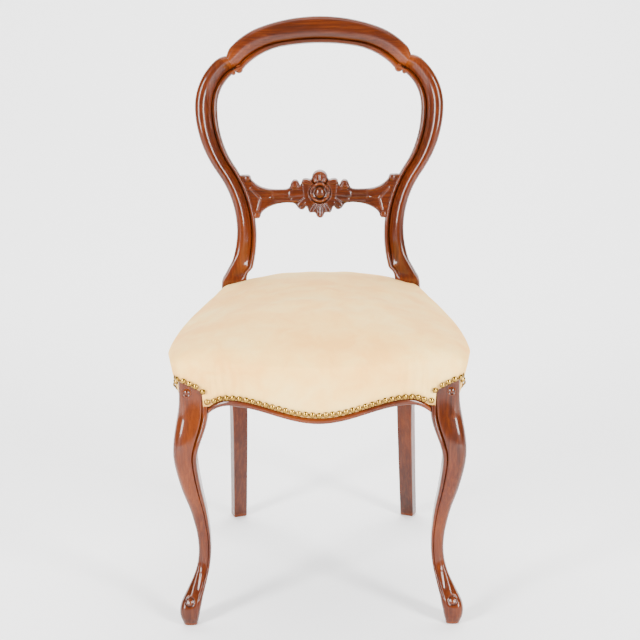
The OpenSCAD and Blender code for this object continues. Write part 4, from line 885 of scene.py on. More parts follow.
@dataclass(frozen=True)
class ChairSizes:
    """Main sizes of the chair, the same as the part's source."""

    chair_h: float = 900
    chair_d: float = 510
    front_w: float = 428
    rear_w: float = 338
    rail_top_h: float = 415
    rail_under_h: float = 358
    post_w: float = 44
    rail_t: float = 26
    rail_bow: float = 24
    side_bow: float = 6
    front_swell: float = 7
    side_swell: float = 18
    cover_t: float = 1.6
    cover_gap: float = 0.4
    hip_w: float = 42
    hip_t: float = 30
    heel_w: float = 24
    heel_t: float = 21
    heel_setback: float = 66
    heel_splay: float = 6
    heel_turn: float = 22
    crown_h: float = 488
    girth_h: float = 430

    @property
    def hip_h(self) -> float:
        """Height of the seam at the foot of each stile."""
        return self.rail_top_h + 43

    @property
    def rail_face_y(self) -> float:
        """Front of the front rail at its middle."""
        return -self.chair_d / 2 + self.front_swell + self.cover_t + self.cover_gap

    @property
    def post_face_y(self) -> float:
        """Front of the front posts."""
        return self.rail_face_y + self.rail_bow

    @property
    def post_back_y(self) -> float:
        """Back of the front posts."""
        return self.post_face_y + self.post_w

    @property
    def post_face_x(self) -> float:
        """Outside of the front posts."""
        return self.front_w / 2

    @property
    def post_inner_x(self) -> float:
        """Inside of the front posts."""
        return self.post_face_x - self.post_w

    @property
    def hip_y(self) -> float:
        """Middle of the rear leg's depth where the seat meets it."""
        turn = math.radians(self.heel_turn)
        reach = self.heel_w / 2 * math.sin(turn) + self.heel_t / 2 * math.cos(turn)
        return self.chair_d / 2 - reach - self.heel_setback

    @property
    def hip_x(self) -> float:
        """Middle of the rear leg's width where the seat meets it."""
        return (self.rear_w - self.hip_w) / 2

    @property
    def hip_inner_x(self) -> float:
        """Inside of the rear leg where the seat meets it."""
        return self.hip_x - self.hip_w / 2

    @property
    def hip_front_y(self) -> float:
        """Front of the rear leg where the seat meets it."""
        return self.hip_y - self.hip_t / 2

    @property
    def hip_back_y(self) -> float:
        """Back of the rear leg where the seat meets it."""
        return self.hip_y + self.hip_t / 2

    @property
    def seat_mid_y(self) -> float:
        """Middle of the seat's depth."""
        return (self.rail_face_y + self.hip_back_y) / 2


CHAIR = ChairSizes()


@dataclass(frozen=True)
class BackSurface:
    """The bent, leaning surface that the stiles, the crest rail and the cross rail lie on."""

    rake: float = 56
    bow: float = 10
    straight_share: float = 0.37
    half_balloon: float = 210

    def rise(self, z: Number) -> Number:
        """Share of the height above the seat seam."""
        return np.maximum(0, (z - CHAIR.hip_h) / (CHAIR.chair_h - CHAIR.hip_h))

    def y(self, x: Number, z: Number) -> Number:
        """Distance to the rear at a place."""
        u = self.rise(z)
        lean = self.straight_share * u + (1 - self.straight_share) * u * u
        return CHAIR.hip_y + self.rake * lean + self.bow * u * (1 - (x / self.half_balloon) ** 2)

    def point(self, x: Number, z: Number) -> Array:
        """The point of the surface at a place."""
        x, z = np.broadcast_arrays(np.asarray(x, float), np.asarray(z, float))
        return np.stack([x, self.y(x, z), z], -1)

    def axes(self, x: Number, z: Number) -> tuple[Array, Array, Array]:
        """Directions across, up and to the rear of the surface at a place."""
        x, z = np.broadcast_arrays(np.asarray(x, float), np.asarray(z, float))
        u, run = self.rise(z), CHAIR.chair_h - CHAIR.hip_h
        slope = self.rake * (self.straight_share + 2 * (1 - self.straight_share) * u)
        slope = (slope + self.bow * (1 - (x / self.half_balloon) ** 2)) / run
        lean = np.stack([np.zeros_like(slope), slope, np.ones_like(slope)], -1)
        across = np.stack([np.ones_like(u), -2 * self.bow * u * x / self.half_balloon**2, np.zeros_like(u)], -1)
        across = unit(across)
        depth = unit(np.cross(lean, across))
        return across, np.cross(across, depth), depth

    def place(self, x: float, z: float) -> Matrix:
        """Matrix that sets x across, y up and z to the front of the surface."""
        across, up, depth = self.axes(x, z)
        turn = Matrix(np.stack([across, up, -depth], 1).tolist()).to_4x4()
        turn.translation = Vector(self.point(x, z).tolist())
        return turn


BACK = BackSurface()

# Sections of the back's members: share of the width from the outer edge, share of the thickness from
# the front. Both have a broad round, a quirk and a bead.
STILE_PROFILE = [
    [0, 0.52], [0.0, 0.36], [0.015, 0.24], [0.055, 0.135], [0.115, 0.06], [0.19, 0.014], [0.27, 0], [0.35, 0.014],
    [0.43, 0.06], [0.5, 0.12], [0.57, 0.195], [0.635, 0.265], [0.7, 0.325], [0.765, 0.42], [0.79, 0.25],
    [0.84, 0.13], [0.89, 0.09], [0.94, 0.12], [0.98, 0.21], [1, 0.36], [1, 0.86], [0.97, 0.95], [0.92, 1],
    [0.09, 1], [0.03, 0.96], [0, 0.86],
]
CREST_PROFILE = [
    [0, 0.52], [0.0, 0.34], [0.015, 0.22], [0.05, 0.12], [0.11, 0.05], [0.2, 0.01], [0.3, 0.0], [0.4, 0.01],
    [0.5, 0.035], [0.58, 0.07], [0.66, 0.115], [0.74, 0.18], [0.8, 0.25], [0.835, 0.36], [0.86, 0.22],
    [0.885, 0.14], [0.92, 0.11], [0.955, 0.13], [0.985, 0.2], [1, 0.34], [1, 0.86], [0.97, 0.95], [0.92, 1],
    [0.09, 1], [0.03, 0.96], [0, 0.86],
]
PLAIN_PROFILE = [
    [0, 0.52], [0, 0.3], [0, 0.12], [0.015, 0.03], [0.07, 0], [0.16, 0], [0.25, 0], [0.34, 0], [0.42, 0],
    [0.5, 0], [0.58, 0], [0.66, 0], [0.74, 0], [0.8, 0], [0.84, 0], [0.88, 0], [0.91, 0], [0.94, 0.0],
    [0.98, 0.02], [1, 0.08], [1, 0.86], [0.97, 0.97], [0.92, 1], [0.09, 1], [0.03, 0.97], [0, 0.86],
]
PROFILE_SHARP = (0, 13)


def section(centre: Array, out: Array, back: Array, w: float, t: float,
            profile: Array) -> Array:
    """One ring of a section.

    Args:
        centre: its middle.
        out: direction of its outer edge.
        back: direction of its rear.
        w: its width.
        t: its thickness.
        profile: shares of the width from the outer edge and of the thickness from the front.

    Returns:
        The ring's points.
    """
    return centre + np.outer((0.5 - profile[:, 0]) * w, out) + np.outer((profile[:, 1] - 0.5) * t, back)


def back_ring(x: float, z: float, nx: float, nz: float, w: float, t: float, profile: Array) -> Array:
    """A ring of a member of the back, whose outer edge lies along nx, nz in elevation."""
    across, up, depth = BACK.axes(x, z)
    return section(BACK.point(x, z), nx * across + nz * up, depth, w, t, profile)


def dress_mahogany(piece: Piece, node: str, grain: Grain = Grain.UPRIGHT, passes: int = 14) -> None:
    """Mark the relief of a piece and dress it in polished mahogany.

    Args:
        piece: the object.
        node: the CAD node that it stands for.
        grain: direction of its grain.
        passes: how far round each vertex its form is looked at.
    """
    mark_relief(piece, passes)
    finish_piece(piece, FrenchPolishedMahogany(grain=grain).material(), [node])


class PieceMaker:
    """A sub-assembly that builds its meshes and then dresses them."""

    def build(self) -> None:
        """Build and dress every piece of the sub-assembly."""
        raise NotImplementedError

    @staticmethod
    def dress_pair(right: Shell, title: str, node: str) -> None:
        """Build and dress a right-hand mahogany piece and its mirror image.

        Args:
            right: the right-hand piece.
            title: name of both objects, before their side.
            node: name of their CAD nodes, before their side.
        """
        for side, shell in ((Side.RIGHT, right), (Side.LEFT, right.mirrored())):
            word = side.name.lower()
            dress_mahogany(shell.build(f"{title}_{word}"), f"{node}_{word}")


@dataclass
class BalloonBack(PieceMaker):
    """Rear legs with their stiles, and the crest rail that closes the balloon."""

    balloon_w: float = 420
    balloon_drop: float = 148
    waist_w: float = 284
    waist_h: float = 541
    stile_w: float = 33
    bulge_w: float = 38
    back_t: float = 25
    bulge_r: float = 185
    crown_r: float = 85
    crest_w: float = 45
    crown_angle: float = 59
    notch: float = 4
    fit_gap: float = 0.2
    step: float = 2.6
    stile_curl_r: float = 4.0
    crest_curl_r: float = 7.0
    end_run: float = 1.4
    end_notch: float = 1.2
    sole_share: float = 0.93
    sole_edge: float = 1.2

    # The stile's rounded outer corner: distance from the joint, and how far the edge is set in
    SHOULDER = [[12.5, 0.1], [10, 0.4], [7.4, 1.0], [5, 1.8], [2.5, 2.9], [0, 4.2]]
    # The rear leg below the seam: height, setback and splay as shares, growth to the hip, turn
    LEG = [
        [0, 1, 1, 0, 1], [0.13, 0.8, 0.66, 0.04, 1], [0.26, 0.61, 0.36, 0.09, 1], [0.38, 0.44, 0.1, 0.13, 1],
        [0.5, 0.29, -0.1, 0.2, 0.85], [0.6, 0.18, -0.18, 0.32, 0.5], [0.69, 0.1, -0.14, 0.55, 0.2],
        [0.77, 0.04, -0.04, 0.9, 0], [0.88, 0, 0, 1, 0], [1, 0, 0, 1, 0],
    ]
    # Outlines of a curl's body and of the knob in its eye: share of its radius, height in millimetres
    CURL = [[0, 0], [0.9, 0], [0.98, 1.2], [0.98, 9.2], [0.86, 11], [0.45, 11.2], [0, 11.4]]
    KNOB = [[0, 0], [0.36, 0], [0.34, 1.0], [0.2, 1.7], [0, 1.95]]

    @property
    def waist_x(self) -> float:
        """Middle of the stile at the waist."""
        return (self.waist_w - self.stile_w) / 2

    @property
    def bulge_x(self) -> float:
        """Middle of the stile at the balloon's widest."""
        return (self.balloon_w - self.bulge_w) / 2

    @property
    def bulge_h(self) -> float:
        """Height of the balloon's widest."""
        return CHAIR.chair_h - self.balloon_drop

    @property
    def end_w(self) -> float:
        """Width of the stile and the crest rail at their joint."""
        return self.bulge_w - 2

    def arcs(self) -> tuple[float, float, float]:
        """Radius of the waist arc, and the angles where it starts and ends, in radians."""
        reach = self.waist_x - (self.bulge_x - self.bulge_r)
        rise = self.bulge_h - self.waist_h
        r = (reach**2 + rise**2 - self.bulge_r**2) / (2 * (self.bulge_r - reach))
        flare = math.asin((self.waist_h - (CHAIR.hip_h + 28)) / r)
        return r, -flare, math.atan2(rise, reach + r)

    def crown_point(self, angle: float) -> tuple[float, float, float, float]:
        """Place and outward direction of the stile's centre line on the crown arc."""
        c, s = math.cos(angle), math.sin(angle)
        return self.bulge_x - self.crown_r * (1 - c), self.bulge_h + self.crown_r * s, c, s

    def joint(self) -> tuple[float, float, float, float]:
        """Place and outward direction where the stile meets the crest rail."""
        return self.crown_point(math.radians(self.crown_angle))

    def stile_width(self, s: Array) -> Array:
        """Width of the stile: 0 at the flare, 1 and 2 where the arcs meet, 3 at the crest rail."""
        neck = self.stile_w - 2
        table = [
            [0, self.stile_w + 4], [0.4, self.stile_w], [1, neck], [1.5, mix(neck, self.bulge_w, 0.6)],
            [2, self.bulge_w], [3, self.end_w],
        ]
        return table_at(table, s)

    def centre_line(self) -> Array:
        """Rows of place, outward direction and share along the stile's centre line."""
        r, start, turn = self.arcs()
        rows = []
        for s in np.linspace(0, 1, 34):
            a = mix(start, turn, s)
            rows.append((self.waist_x + r * (1 - math.cos(a)), self.waist_h + r * math.sin(a), math.cos(a),
                         -math.sin(a), s))
        for s in np.linspace(0, 1, 26)[1:]:
            a = turn * (1 - s)
            c, n, bulge = math.cos(a), math.sin(a), self.bulge_r
            rows.append((self.bulge_x - bulge * (1 - c), self.bulge_h - bulge * n, c, -n, 1 + s))
        for s in np.linspace(0, 1, 26)[1:]:
            rows.append((*self.crown_point(math.radians(self.crown_angle) * s), 2 + s))
        return np.asarray(rows)

    def leg_rings(self, profile: Array) -> list[Array]:
        """Rings of the rear leg from its heel to the seat seam."""
        c, rings = CHAIR, []
        for height, setback, splay, grown, turned in self.LEG:
            a = math.radians(c.heel_turn * turned)
            centre = np.array([c.hip_x + c.heel_splay * splay, c.hip_y + c.heel_setback * setback, c.hip_h * height])
            out, back = np.array([math.cos(a), -math.sin(a), 0]), np.array([math.sin(a), math.cos(a), 0])
            w, t = mix(c.heel_w, c.hip_w, grown), mix(c.heel_t, c.hip_t, grown)
            rings.append(section(centre, out, back, w, t, profile))
        return rings

    def stile_rings(self, plain: Array, moulded: Array) -> list[Array]:
        """Rings of the stile from its flare to its joint with the crest rail."""
        flare_x = mix(CHAIR.hip_x, self.waist_x, 0.18)
        rings = [back_ring(flare_x, CHAIR.hip_h + 12, 1, 0, mix(CHAIR.hip_w, self.stile_w + 4, 0.7),
                           mix(CHAIR.hip_t, self.back_t, 0.5), mix(plain, moulded, 0.3))]
        for x, z, nx, nz, s in self.centre_line():
            shown = ease(s * 4 + 0.45)
            profile = mix(plain, moulded, shown)
            rings.append(back_ring(x, z, nx, nz, float(self.stile_width(s)), self.back_t, profile))
        return rings

    def scroll(self, shell: Shell, side: int, radius: float) -> None:
        """Add the curl that ends a bead beside the joint.

        Args:
            shell: the mesh that gets it.
            side: -1 on the stile's side of the joint, 1 on the crest rail's.
            radius: the curl's radius.
        """
        x, z, nx, nz = self.joint()
        along, out = np.array([-nz, nx]) * side, np.array([nx, nz])
        eye = along * (radius + self.fit_gap) - out * (self.end_w / 2 - radius * 0.12)
        place, start, count, face = BACK.place(x, z), math.atan2(out[1], out[0]), 46, 6.4
        path = []
        for a, r in zip(np.linspace(0, 2.5 * math.pi, count), np.linspace(radius - 1.9, radius * 0.16, count)):
            angle = start + side * a
            path.append(place @ Vector((eye[0] + r * math.cos(angle), eye[1] + r * math.sin(angle), face)))
        shell.tube(np.asarray([list(p) for p in path]), np.linspace(2.1, 1.5, count), 12)
        for outline, height, around in ((self.CURL, -self.back_t / 5, 36), (self.KNOB, 6.2, 20)):
            stand = place @ Matrix.Translation((eye[0], eye[1], height))
            shell.lathe([[radius * r, h] for r, h in outline], stand, around)

    def rear_leg(self) -> Shell:
        """The right rear leg with its stile."""
        plain, moulded = (dense_profile(p, PROFILE_SHARP, 4) for p in (PLAIN_PROFILE, STILE_PROFILE))
        keys = self.leg_rings(plain) + self.stile_rings(plain, moulded)[:-4]
        for d, notch in self.SHOULDER:
            x, z, nx, nz = self.crown_point(math.radians(self.crown_angle) - d / self.crown_r)
            keys.append(back_ring(x - nx * notch / 2, z - nz * notch / 2, nx, nz, self.end_w - notch,
                                  self.back_t, moulded))
        rings = spline(np.asarray(keys), step=self.step, sharp=(0,))
        sole = mix(rings[0].mean(0), rings[0], self.sole_share)
        shell = Shell().loft(np.concatenate([sole[None], rings[:1] + (0, 0, self.sole_edge), rings[1:]]))
        self.scroll(shell, -1, self.stile_curl_r)
        return shell

    def crest_key(self, s: float, side: int, profile: Array) -> Array:
        """Ring of the crest rail at a share of the way to its end."""
        joint_x = self.joint()[0]
        end_x, inner_end_x = joint_x + self.end_w / 36, joint_x * 0.86

        def arch(x: float, top: float, r: float, turn_x: float, turn_r: float) -> float:
            """Height of an arch of two arcs."""
            if x <= turn_x:
                return top - r + math.sqrt(r * r - x * x)
            a = math.asin(turn_x / r)
            dx = x - (r - turn_r) * math.sin(a)
            return top - r + (r - turn_r) * math.cos(a) + math.sqrt(turn_r**2 - dx * dx)

        outer = np.array([end_x * s, arch(end_x * s, CHAIR.chair_h, 300, 100, 122)])
        inner = np.array([inner_end_x * s, arch(inner_end_x * s, CHAIR.chair_h - self.crest_w, 380, 60, 120)])
        centre, n = (outer + inner) / 2, unit(outer - inner)
        thick = self.back_t * mix(1, 0.97, float(ease(s)))
        return back_ring(side * centre[0], centre[1], side * n[0], n[1], float(np.linalg.norm(outer - inner)),
                         thick, profile)

    def crest_end(self, side: int, step: float, notch: float, profile: Array) -> Array:
        """Ring of the crest rail beside its joint with a stile, notched outside."""
        jx, jz, nx, nz = self.joint()
        x, z = jx - nz * step - nx * notch / 2, jz + nx * step - nz * notch / 2
        return back_ring(side * x, z, side * nx, nz, self.end_w - notch, self.back_t - 1, profile)

    def crest_rail(self) -> Shell:
        """The crest rail."""
        moulded, broad = (dense_profile(p, PROFILE_SHARP, 4) for p in (STILE_PROFILE, CREST_PROFILE))
        halves = []
        for side in (1, -1):
            half = [self.crest_end(side, self.fit_gap, self.notch + self.end_notch, moulded),
                    self.crest_end(side, self.fit_gap + self.end_run, self.notch, moulded)]
            half += [self.crest_key(s, side, mix(broad, moulded, float(ease(s * 1.5 - 0.5))))
                     for s in np.linspace(1, 0, 21)]
            halves.append(half)
        keys = halves[0] + halves[1][-2::-1]
        return Shell().loft(spline(np.asarray(keys), step=self.step, sharp=(1, len(keys) - 2)))

    def build(self) -> None:
        """Build and dress the rear legs and the crest rail."""
        self.dress_pair(self.rear_leg(), "rear_leg_and_stile", "rear_leg")
        curls = Shell()
        self.scroll(curls, 1, self.crest_curl_r)
        crest = self.crest_rail()
        for part in (curls, curls.mirrored()):
            crest.add(np.concatenate(part.points), part.faces)
        dress_mahogany(crest.build("moulded_crest_rail"), "crest_rail", Grain.ACROSS)


@dataclass
class FrontLegs(PieceMaker):
    """Cabriole front legs with a bead down the inner edge, carved feet and a patera on each knee."""

    knee_w: float = 38
    sweep: float = 25
    knee_share: float = 0.64
    inner_square: float = 0.845
    outer_square: float = 0.93
    leg_top: float = 0.66
    post_start: float = 0.82
    post_run: float = 0.11
    patera_r: float = 6.8
    patera_x: float = 201.7
    patera_h: float = 384
    step: float = 1.3

    # Height as a share of the rail's top, sweep as a share, width as a share of the knee's
    SHARES = [
        [0, 0.94, 0.56], [0.012, 0.96, 0.64], [0.034, 0.98, 0.78], [0.06, 0.96, 0.86], [0.085, 0.87, 0.86],
        [0.108, 0.74, 0.79], [0.133, 0.57, 0.71], [0.169, 0.34, 0.61], [0.205, 0.16, 0.555],
        [0.24, 0.05, 0.53], [0.277, 0, 0.525], [0.318, 0.01, 0.545], [0.361, 0.07, 0.58],
        [0.446, 0.29, 0.69], [0.542, 0.65, 0.84], [0.639, 0.92, 0.945], [0.72, 1, 1],
    ]
    # Sections as shares of the half widths, outwards and to the front, with a sharp groove
    LEG = [
        [1, -0.1], [0.985, 0.3], [0.9, 0.62], [0.64, 0.87], [0.22, 0.975], [-0.22, 0.985], [-0.46, 0.965],
        [-0.56, 0.92], [-0.61, 0.79], [-0.65, 0.93], [-0.73, 1.02], [-0.84, 1.04], [-0.94, 0.96],
        [-0.99, 0.8], [-1, 0.5], [-1, -0.1], [-0.97, -0.75], [-0.75, -0.97], [0, -1], [0.7, -0.96],
        [0.92, -0.72],
    ]
    POST = [
        [1, -0.1], [1, 0.3], [1, 0.8], [0.86, 0.98], [0.22, 1], [-0.22, 1], [-0.46, 1], [-0.56, 1],
        [-0.61, 1], [-0.65, 1], [-0.73, 1], [-0.84, 1], [-0.96, 1], [-1, 0.9], [-1, 0.5], [-1, -0.1],
        [-1, -0.75], [-0.98, -1], [0, -1], [0.75, -1], [1, -0.75],
    ]
    FOOT = [
        [1, -0.1], [0.98, 0.3], [0.9, 0.66], [0.66, 0.9], [0.2, 1], [-0.2, 0.99], [-0.46, 0.96],
        [-0.56, 0.93], [-0.62, 0.89], [-0.68, 0.87], [-0.76, 0.84], [-0.84, 0.78], [-0.92, 0.67],
        [-0.98, 0.5], [-1, 0.3], [-1, -0.1], [-0.92, -0.68], [-0.7, -0.9], [0, -0.98], [0.62, -0.9],
        [0.88, -0.68],
    ]
    GROOVE = 8
    # The foot's carving: middle of its roundel, and ends, radius and depth of the flutes
    ROUNDEL = (206.5, 40.0)
    FLUTES = [
        ((207.4, 52), (202.4, 75), 2.3, 1.3), ((202.4, 75), (198, 95), 2.0, 0.9),
        ((195.6, 58), (191.6, 80), 2.6, 1.3), ((191.6, 80), (188, 104), 1.8, 0.7),
    ]
    # The patera's outline, in shares of its radius and in millimetres over the post
    PATERA = [
        [0, -1], [1, -1], [1, 0.6], [0.93, 1.35], [0.82, 1.5], [0.72, 0.9], [0.62, 0.65], [0.5, 1.1],
        [0.34, 1.85], [0.15, 2.15], [0, 2.2],
    ]

    def carve(self, points: Array, front: Array) -> Array:
        """Cut the flutes and the scrolled roundel into the foot.

        Args:
            points: the leg's points.
            front: how far each point faces to the front, from 0 to 1.

        Returns:
            The carved points.
        """
        u, v = points[..., 0], points[..., 2]
        du, dv = u - self.ROUNDEL[0], v - self.ROUNDEL[1]
        r, turn = np.hypot(du, dv), np.arctan2(dv, du)
        flutes = [groove(u, v, *flute) for flute in self.FLUTES]
        cut = np.maximum(np.maximum(flutes[0] + flutes[1], flutes[2]), flutes[3])
        cut = np.maximum(cut, 1.3 * bell(r - 6.4, 1.15))
        swirl = r - (2.2 + 2.6 * np.mod(turn / (2 * math.pi) + 0.2, 1))
        cut = np.maximum(cut, 0.75 * bell(swirl, 0.7) * (r < 6))
        cut = cut - 0.9 * ease((5.6 - r) / 4)
        carved = points.copy()
        carved[..., 1] += cut * front
        return carved

    def sides(self, s: float) -> Array:
        """Inner and outer side, back and front of the leg at a share of the rail's height."""
        knee_x = CHAIR.post_face_x - CHAIR.post_w / 2 + self.sweep * self.knee_share
        knee_y = CHAIR.post_face_y + CHAIR.post_w / 2 - self.sweep * self.knee_share
        inward = self.sweep * (1 - float(table_at(self.SHARES, s, 1)))
        half = self.knee_w * float(table_at(self.SHARES, s, 2)) / 2
        x, y = knee_x - inward, knee_y + inward
        return np.array([x - half, x + half, y + half, y - half])

    def bend(self, s: float) -> Array:
        """The sides above the knee, on a smooth run from the leg's own slope to the square post."""
        low, slope = self.sides(self.leg_top), (self.sides(self.leg_top) - self.sides(self.leg_top - 0.02)) / 0.02
        post = np.array([CHAIR.post_inner_x, CHAIR.post_face_x, CHAIR.post_back_y, CHAIR.post_face_y])
        span = np.array([self.inner_square, self.outer_square] * 2) - self.leg_top
        return hermite(low, post, slope * span, 0, np.minimum(1, (s - self.leg_top) / span))

    def leg(self) -> Shell:
        """The right front leg with its post."""
        leg, post, foot = (dense_profile(p, (self.GROOVE,), 7) for p in (self.LEG, self.POST, self.FOOT))
        rings = []
        for z in np.arange(0, CHAIR.rail_top_h, self.step).tolist() + [CHAIR.rail_top_h]:
            s = z / CHAIR.rail_top_h
            x0, x1, y0, y1 = self.sides(s) if s < self.leg_top else self.bend(s)
            shape = mix(foot, leg, float(ease(s * 9 - 0.6)))
            shape = mix(shape, post, float(ease((s - self.post_start) / self.post_run)))
            rings.append(np.stack([(x0 + x1) / 2 + shape[:, 0] * (x1 - x0) / 2,
                                   (y0 + y1) / 2 - shape[:, 1] * (y0 - y1) / 2, np.full(len(shape), z)], 1))
        facing = ease((leg[:, 1] - 0.35) / 0.4)[None]
        shell = Shell().loft(self.carve(np.asarray(rings), facing))
        stand = Matrix.Translation((self.patera_x, CHAIR.post_face_y, self.patera_h))
        outline = [[self.patera_r * r, h] for r, h in self.PATERA]
        return shell.lathe(outline, stand @ Matrix.Rotation(math.pi / 2, 4, "X"), 40)

    def build(self) -> None:
        """Build and dress both front legs."""
        self.dress_pair(self.leg(), "cabriole_leg", "front_leg")


def from_line(u: Array, v: Array, a: Spot, b: Spot) -> Array:
    """Distance of points from the line between a and b."""
    a, b = np.asarray(a, float), np.asarray(b, float)
    d = b - a
    s = np.clip(((u - a[0]) * d[0] + (v - a[1]) * d[1]) / (d @ d), 0, 1)
    return np.hypot(u - a[0] - s * d[0], v - a[1] - s * d[1])


def groove(u: Array, v: Array, a: Spot, b: Spot, r: float, depth: float) -> Array:
    """Depth of a rounded groove between two places."""
    return depth * bell(from_line(u, v, a, b), r)


def lump(u: Array, v: Array, a: Spot, b: Spot, r: float, height: float) -> Array:
    """Height of a rounded ridge between two places."""
    return height * dome(from_line(u, v, a, b), r)


@dataclass
class CarvedCrossRail(PieceMaker):
    """The carved cross rail: a bar that flares to the stiles, with a cartouche of leaves round a boss."""

    back: BalloonBack
    cross_h: float = 608
    thick: float = 16
    level: float = -6
    bar_w: float = 23
    edge_r: float = 3.2
    back_edge_r: float = 1.6
    sink: float = 2.6
    rows: int = 96
    back_rows: int = 14

    # Upper and lower outline from the middle outwards, in millimetres from the rail's centre
    TOP = [
        [0, 38], [3, 37.7], [6, 36.6], [9, 34.6], [11.4, 31.8], [13, 28.2], [13.7, 24.6], [14.6, 22.7], [17, 22.4],
        [20, 23.3], [24, 23.7], [27.6, 23.2], [29.8, 21.4], [31.2, 17.5], [32.4, 13.9], [33.4, 12.6], [34.3, 14.2],
        [36, 18.2], [38.8, 21.2], [42.2, 22], [45.4, 21], [48, 18.2], [49.8, 14], [51.2, 9.8], [53.4, 7.2],
        [57, 6.1], [62, 5.6], [70, 5.5], [78, 5.7], [86, 6.5], [94, 8.2], [102, 11.2], [109, 15.6], [114, 20.2],
        [116.4, 23.6], [117.3, 26.8], [119, 29.6], [122.5, 30.6], [128, 30.6], [137.6, 30.6],
    ]
    LOW = [
        [0, -44], [2.5, -43.5], [4.8, -41.8], [6.3, -39], [7.6, -36.2], [9.6, -34.8], [12.5, -34.6], [15.8, -35],
        [18.2, -34.2], [19.8, -31.6], [21, -28], [22.6, -25.2], [24, -24.6], [25.4, -26.6], [28, -29], [31.4, -29.7],
        [35, -28.6], [38.2, -25.6], [40.6, -21.8], [43.2, -19.4], [47, -18.1], [55, -17.5], [62, -17.9],
        [70, -19], [78, -21], [86, -24.2], [93, -28.4], [98, -32.8], [100.8, -37], [101.6, -40.6], [103.6, -43.4],
        [106.5, -44], [112, -44], [137.6, -44],
    ]
    # Grooves and ridges of the carving: both ends, radius, depth or height
    BAR_GROOVES = [((46, -1.5), (78, -3.2), 1.1, 0.75), ((46, -10), (78, -8.8), 1.1, 0.6)]
    LEAVES = [((22, 0), (46, -3), 8.5, 2.4), ((24, -8), (44, -10.5), 6.5, 2.0), ((30, 6), (40, 9), 6.0, 2.2)]
    LOW_LEAF, LOW_VEIN = ((22, -12), (32.5, -22), 8.2, 3.8), ((22, -14), (35, -24), 0.9, 0.9)
    EAR = ((15, 14), (25.5, 18.5), 8.6, 4.4)
    EAR_GROOVES = [
        ((13, 15.5), (28.5, 22.6), 0.85, 1.0), ((15, 12), (32, 15.6), 0.85, 1.0), ((12, 18), (21.5, 24), 0.85, 1.0),
    ]
    LOBE_GROOVE, SKIRT_TIP = ((0, 19), (0, 31), 1.2, 0.8), ((0, -36), (0, -40), 5.4, 1.1)
    SKIRT_GROOVES = [
        ((0, -20), (0, -40), 0.9, 0.5), ((3, -20), (7.2, -37), 0.9, 1.1), ((7, -20), (13.6, -36), 0.9, 1.1),
        ((11, -19), (19.4, -32), 0.9, 1.1),
    ]
    END_RIDGES = [
        ((80, -7.6), (101, -10), 2.6, 2.6), ((101, -10), (117, 7), 3.1, 3.3), ((101, -10), (106, -30), 2.8, 2.9),
    ]
    # Knobs on the end panels: place across and up, radius, height
    END_KNOBS = [(122.6, 25.2, 6.2, 3.2), (107, -38.4, 6.0, 2.6)]

    def columns(self) -> tuple[Array, Array, Array]:
        """Places across the rail, with the height of its lower and upper edge there."""
        fine = np.arange(0, 56, 0.5)
        u = np.concatenate([fine, np.arange(56, 112, 0.8), np.arange(112, 134.4, 0.5)])
        line = self.back.centre_line()
        half = self.back.stile_width(line[:, 4]) / 2
        inner_x, inner_z = line[:, 0] - line[:, 2] * half, line[:, 1] - line[:, 3] * half
        keep = (inner_z > self.cross_h - 60) & (inner_z < self.cross_h + 45)
        stile = np.interp(u, inner_x[keep] + self.sink, inner_z[keep]) - self.cross_h
        low = table_at(self.LOW, u)
        low = np.where(u > 100, np.maximum(low, stile), low)
        top = table_at(self.TOP, u)
        keep = top > low + 0.6
        return u[keep], low[keep], top[keep]

    def outline(self, u: Array, low: Array, top: Array) -> Array:
        """The rail's outline as a dense closed line, without its ends."""
        half = np.concatenate([np.stack([u, top], 1), np.stack([u, low], 1)])
        return np.concatenate([half, half * (-1, 1)])

    def bar(self, u: Array, v: Array) -> Array:
        """The bar, the leaves that grow along it, their curled tips above and rounded leaves below."""
        h = 0.9 * (1 - ((v - self.level) / (self.bar_w / 2)) ** 2).clip(0, 1)
        for line in self.BAR_GROOVES:
            h = h - groove(u, v, *line)
        h = h * (1 - ease((u - 76) / 14))
        for leaf in self.LEAVES:
            h = np.maximum(h, lump(u, v, *leaf))
        tip = np.hypot(u - 42.6, v - 13.6)
        h = np.maximum(h, 4.2 * dome(tip, 9.4)) - 1.1 * bell(tip - 5.2, 0.9) * (v < 17)
        return np.maximum(h, lump(u, v, *self.LOW_LEAF)) - groove(u, v, *self.LOW_VEIN)

    def cartouche(self, u: Array, v: Array, h: Array) -> Array:
        """The cartouche with its ears, cupped lobe and skirt, over the relief h."""
        body = ease((31 - u + 0.12 * v) / 5) * ease((v + 30) / 8) * ease((26 - v) / 5)
        h = np.maximum(np.maximum(h, 3.6 * body), lump(u, v, *self.EAR))
        for line in self.EAR_GROOVES:
            h = h - groove(u, v, *line)
        lobe = np.hypot(u, v - 24.5)
        rim, cup = 4.6 * bell(lobe - 10.6, 2.1), 4.4 - 1.7 * ease((9.4 - lobe) / 4)
        h = np.where((lobe < 14.5) & (v > 14), np.maximum(np.where(lobe < 10.6, cup, rim + 0.6), h * 0.4), h)
        h = h - groove(u, v, *self.LOBE_GROOVE) * (lobe < 9)
        h = np.maximum(h, 3.4 * ease((22.5 - u) / 2.5) * ease((-14 - v) / 3))
        for line in self.SKIRT_GROOVES:
            h = h - groove(u, v, *line)
        return h + lump(u, v, *self.SKIRT_TIP)

